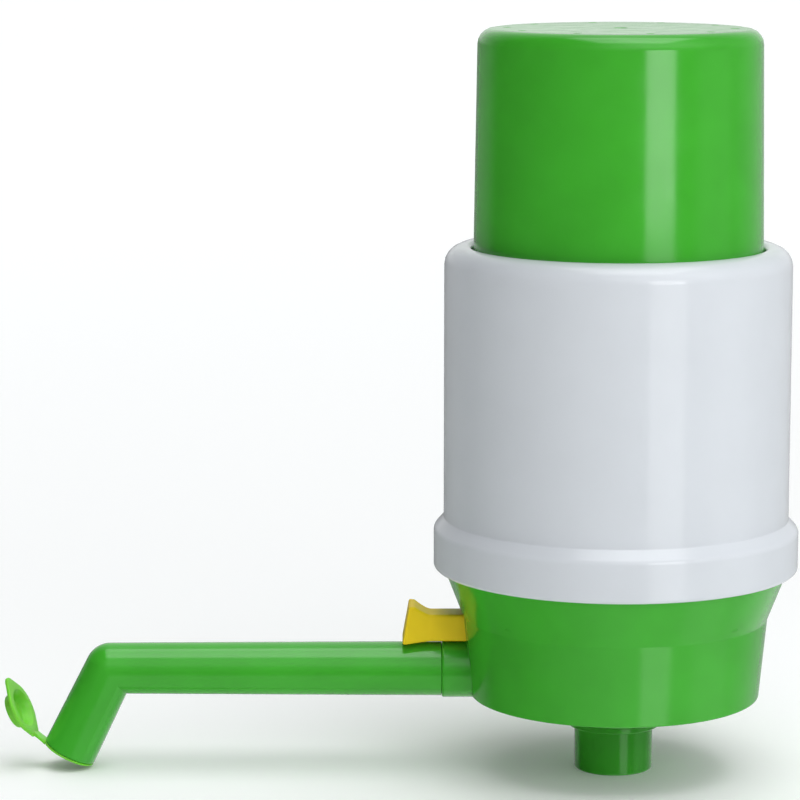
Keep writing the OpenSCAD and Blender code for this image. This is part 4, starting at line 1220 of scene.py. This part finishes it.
sides = np.array([-FLOOR_HALF, FLOOR_HALF]) / MM
floor_x, floor_y = np.meshgrid(sides, sides, indexing="ij")
floor_points = np.stack([floor_x, floor_y, 0 * floor_x], axis=-1)
floor = grid_piece("floor", floor_points, wrap_rows=False, wrap_columns=False)
floor_shader = Shader("pale_floor", Base_Color=FLOOR_COLOUR, Roughness=0.8,
                      Emission_Color=GLOW_COLOUR)
away = floor_shader.nodes.new("ShaderNodeVectorMath")
away.operation = "LENGTH"
floor_shader.links.new(floor_shader.place, away.inputs[0])
glow = floor_shader.spread(away.outputs["Value"], *FLOOR_GLOW, NEAR, FAR)
floor_shader.link(glow, "Emission Strength")
floor_shader.material.cycles.emission_sampling = "NONE"
floor_grain = floor_shader.noise(FLOOR_GRAIN_SIZE, 4)
floor_shader.link(floor_shader.bump(floor_grain, FLOOR_GRAIN_DEPTH), "Normal")
floor.data.materials.append(floor_shader.material)
floor.visible_glossy = False

rise = np.linspace(0, np.pi / 2, 33)
dome_line = np.column_stack([np.cos(rise), np.sin(rise)]) * DOME_R / MM
dome = grid_piece("dome", revolved(dome_line, 64), wrap_rows=False)
dome_shader = Shader("pale_dome", Base_Color=(0, 0, 0, 1), Roughness=1.0,
                     Emission_Color=GLOW_COLOUR, Emission_Strength=DOME_GLOW)
dome_shader.material.cycles.emission_sampling = "NONE"
dome.data.materials.append(dome_shader.material)
dome.visible_diffuse = False
dome.visible_glossy = False
dome.visible_transmission = False
dome.visible_shadow = False
print("floor", 2 * FLOOR_HALF, "m wide")

# %% [markdown]
# ## Light
# A tall narrow soft light at the right front leaves the crisp strip on the cap. It is made of
# two lights, one above the other, because the strip is brightest at its top. The rest of the
# room is a surrounding with four rings of brightness: far below the horizon, where it is a pale
# table in front, a little below it, at the horizon and above it. It is pale behind, dark at
# the left and bright above the right front, with a broad soft light overhead.

# %% Strip light
STRIP_AT = (0.136, -0.265)
STRIP_WIDTH = 0.118
# Each light's lower and upper end, in metres, and its glow
STRIPS = ((-0.20, 0.115, 1.25), (0.115, 0.215, 4.0))

for low, high, glow in STRIPS:
    strip_data = bpy.data.lights.new("strip", "AREA")
    strip_data.shape = "RECTANGLE"
    strip_data.size = STRIP_WIDTH
    strip_data.size_y = high - low
    strip_data.energy = glow * math.pi * strip_data.size * strip_data.size_y
    strip = bpy.data.objects.new("strip", strip_data)
    strip.location = (*STRIP_AT, (low + high) / 2)
    strip.rotation_euler = (math.pi / 2, 0, math.atan2(STRIP_AT[0], -STRIP_AT[1]))
    strip.visible_camera = False
    # Both lights are mirrored, and only the upper one also brightens what it shines on
    strip.visible_diffuse = low > 0
    bpy.context.scene.collection.objects.link(strip)
print(len(STRIPS), "lights in the strip")

# %% Surroundings
# Brightness round the room, as (degrees from the front towards +X, brightness). The rings fade
# into each other between the heights that follow, as the sine of the angle over the horizon.
# The table's ring is added to the low one.
LOW_RING = [(-180, 0.28), (-132, 0.26), (-118, 0.01), (-60, 0.01), (-20, 0.03), (56, 0.05),
            (66, 0.36), (90, 0.36), (98, 0.16), (112, 0.30), (135, 0.52), (180, 0.50)]
TABLE_RING = [(-180, 0.20), (-130, 0.02), (-70, 0.06), (-25, 0.36), (0, 0.50), (60, 0.46),
              (110, 0.30), (180, 0.30)]
EYE_RING = [(-180, 0.95), (-150, 0.60), (-115, 0.02), (-60, 0.02), (-20, 0.16), (10, 0.28),
            (60, 0.28), (90, 0.26), (130, 0.50), (180, 0.95)]
HIGH_RING = [(-180, 1.00), (-150, 0.50), (-115, 0.02), (-60, 0.02), (-32, 0.16), (-8, 0.85),
             (18, 1.50), (50, 1.30), (85, 0.50), (120, 0.25), (150, 0.55), (180, 1.00)]
TABLE_Z = (-0.27, -0.38)
EYE_Z = (-0.02, 0.08)
HIGH_Z = (0.16, 0.55)
SKY_COLOUR = (0.975, 0.99, 1.0, 1)
OVERHEAD_GLOW = 2.3
# The overhead light's sides, as distances over its height
OVERHEAD_X = (-0.31, 0.55)
OVERHEAD_Y = (-0.56, 0.34)
OVERHEAD_SOFT = 0.08

world = bpy.data.worlds.new("studio")
bpy.context.scene.world = world
air = Tree(world)
way = air.nodes.new("ShaderNodeTexCoord")
parts = air.nodes.new("ShaderNodeSeparateXYZ")
air.links.new(way.outputs["Generated"], parts.inputs["Vector"])


def worked(operation, *values):
    """A Math node of the surroundings, with numbers or sockets as its values."""
    node = air.nodes.new("ShaderNodeMath")
    node.operation = operation
    for socket, value in zip(node.inputs, values):
        if isinstance(value, (int, float)):
            socket.default_value = value
        else:
            air.links.new(value, socket)
    return node.outputs["Value"]


def faded(value, start, end):
    """A smooth step from 0 at start to 1 at end."""
    return air.spread(value, 0, 1, start, end, "SMOOTHSTEP")


def ring(turn, stops):
    """Brightness round the room, from stops in degrees."""
    return air.ramp(turn, [(degrees / 360 + 0.5, (glow,) * 3) for degrees, glow in stops])


def blended(share, first, second):
    """first (1 - share) + second share."""
    rest = worked("MULTIPLY", first, worked("SUBTRACT", 1.0, share))
    return worked("ADD", rest, worked("MULTIPLY", second, share))


def window(value, limits):
    """1 between two limits, and smoothly 0 beyond them."""
    inner = faded(value, limits[0] - OVERHEAD_SOFT, limits[0] + OVERHEAD_SOFT)
    outer = faded(value, limits[1] + OVERHEAD_SOFT, limits[1] - OVERHEAD_SOFT)
    return worked("MULTIPLY", inner, outer)


x, y, z = parts.outputs
heading = worked("ARCTAN2", x, worked("MULTIPLY", y, -1.0))
turn = worked("ADD", worked("DIVIDE", heading, 2 * math.pi), 0.5)
table = worked("MULTIPLY", faded(z, *TABLE_Z), ring(turn, TABLE_RING))
room = worked("ADD", ring(turn, LOW_RING), table)
room = blended(faded(z, *EYE_Z), room, ring(turn, EYE_RING))
room = blended(faded(z, *HIGH_Z), room, ring(turn, HIGH_RING))
up = worked("MAXIMUM", z, 0.001)
overhead_x = window(worked("DIVIDE", x, up), OVERHEAD_X)
overhead_y = window(worked("DIVIDE", y, up), OVERHEAD_Y)
overhead = worked("MULTIPLY", overhead_x, overhead_y)
room = worked("ADD", room, worked("MULTIPLY", overhead, OVERHEAD_GLOW))
sky = air.nodes["Background"]
sky.inputs["Color"].default_value = SKY_COLOUR
air.links.new(room, sky.inputs["Strength"])
bpy.context.scene.view_settings.view_transform = "Standard"
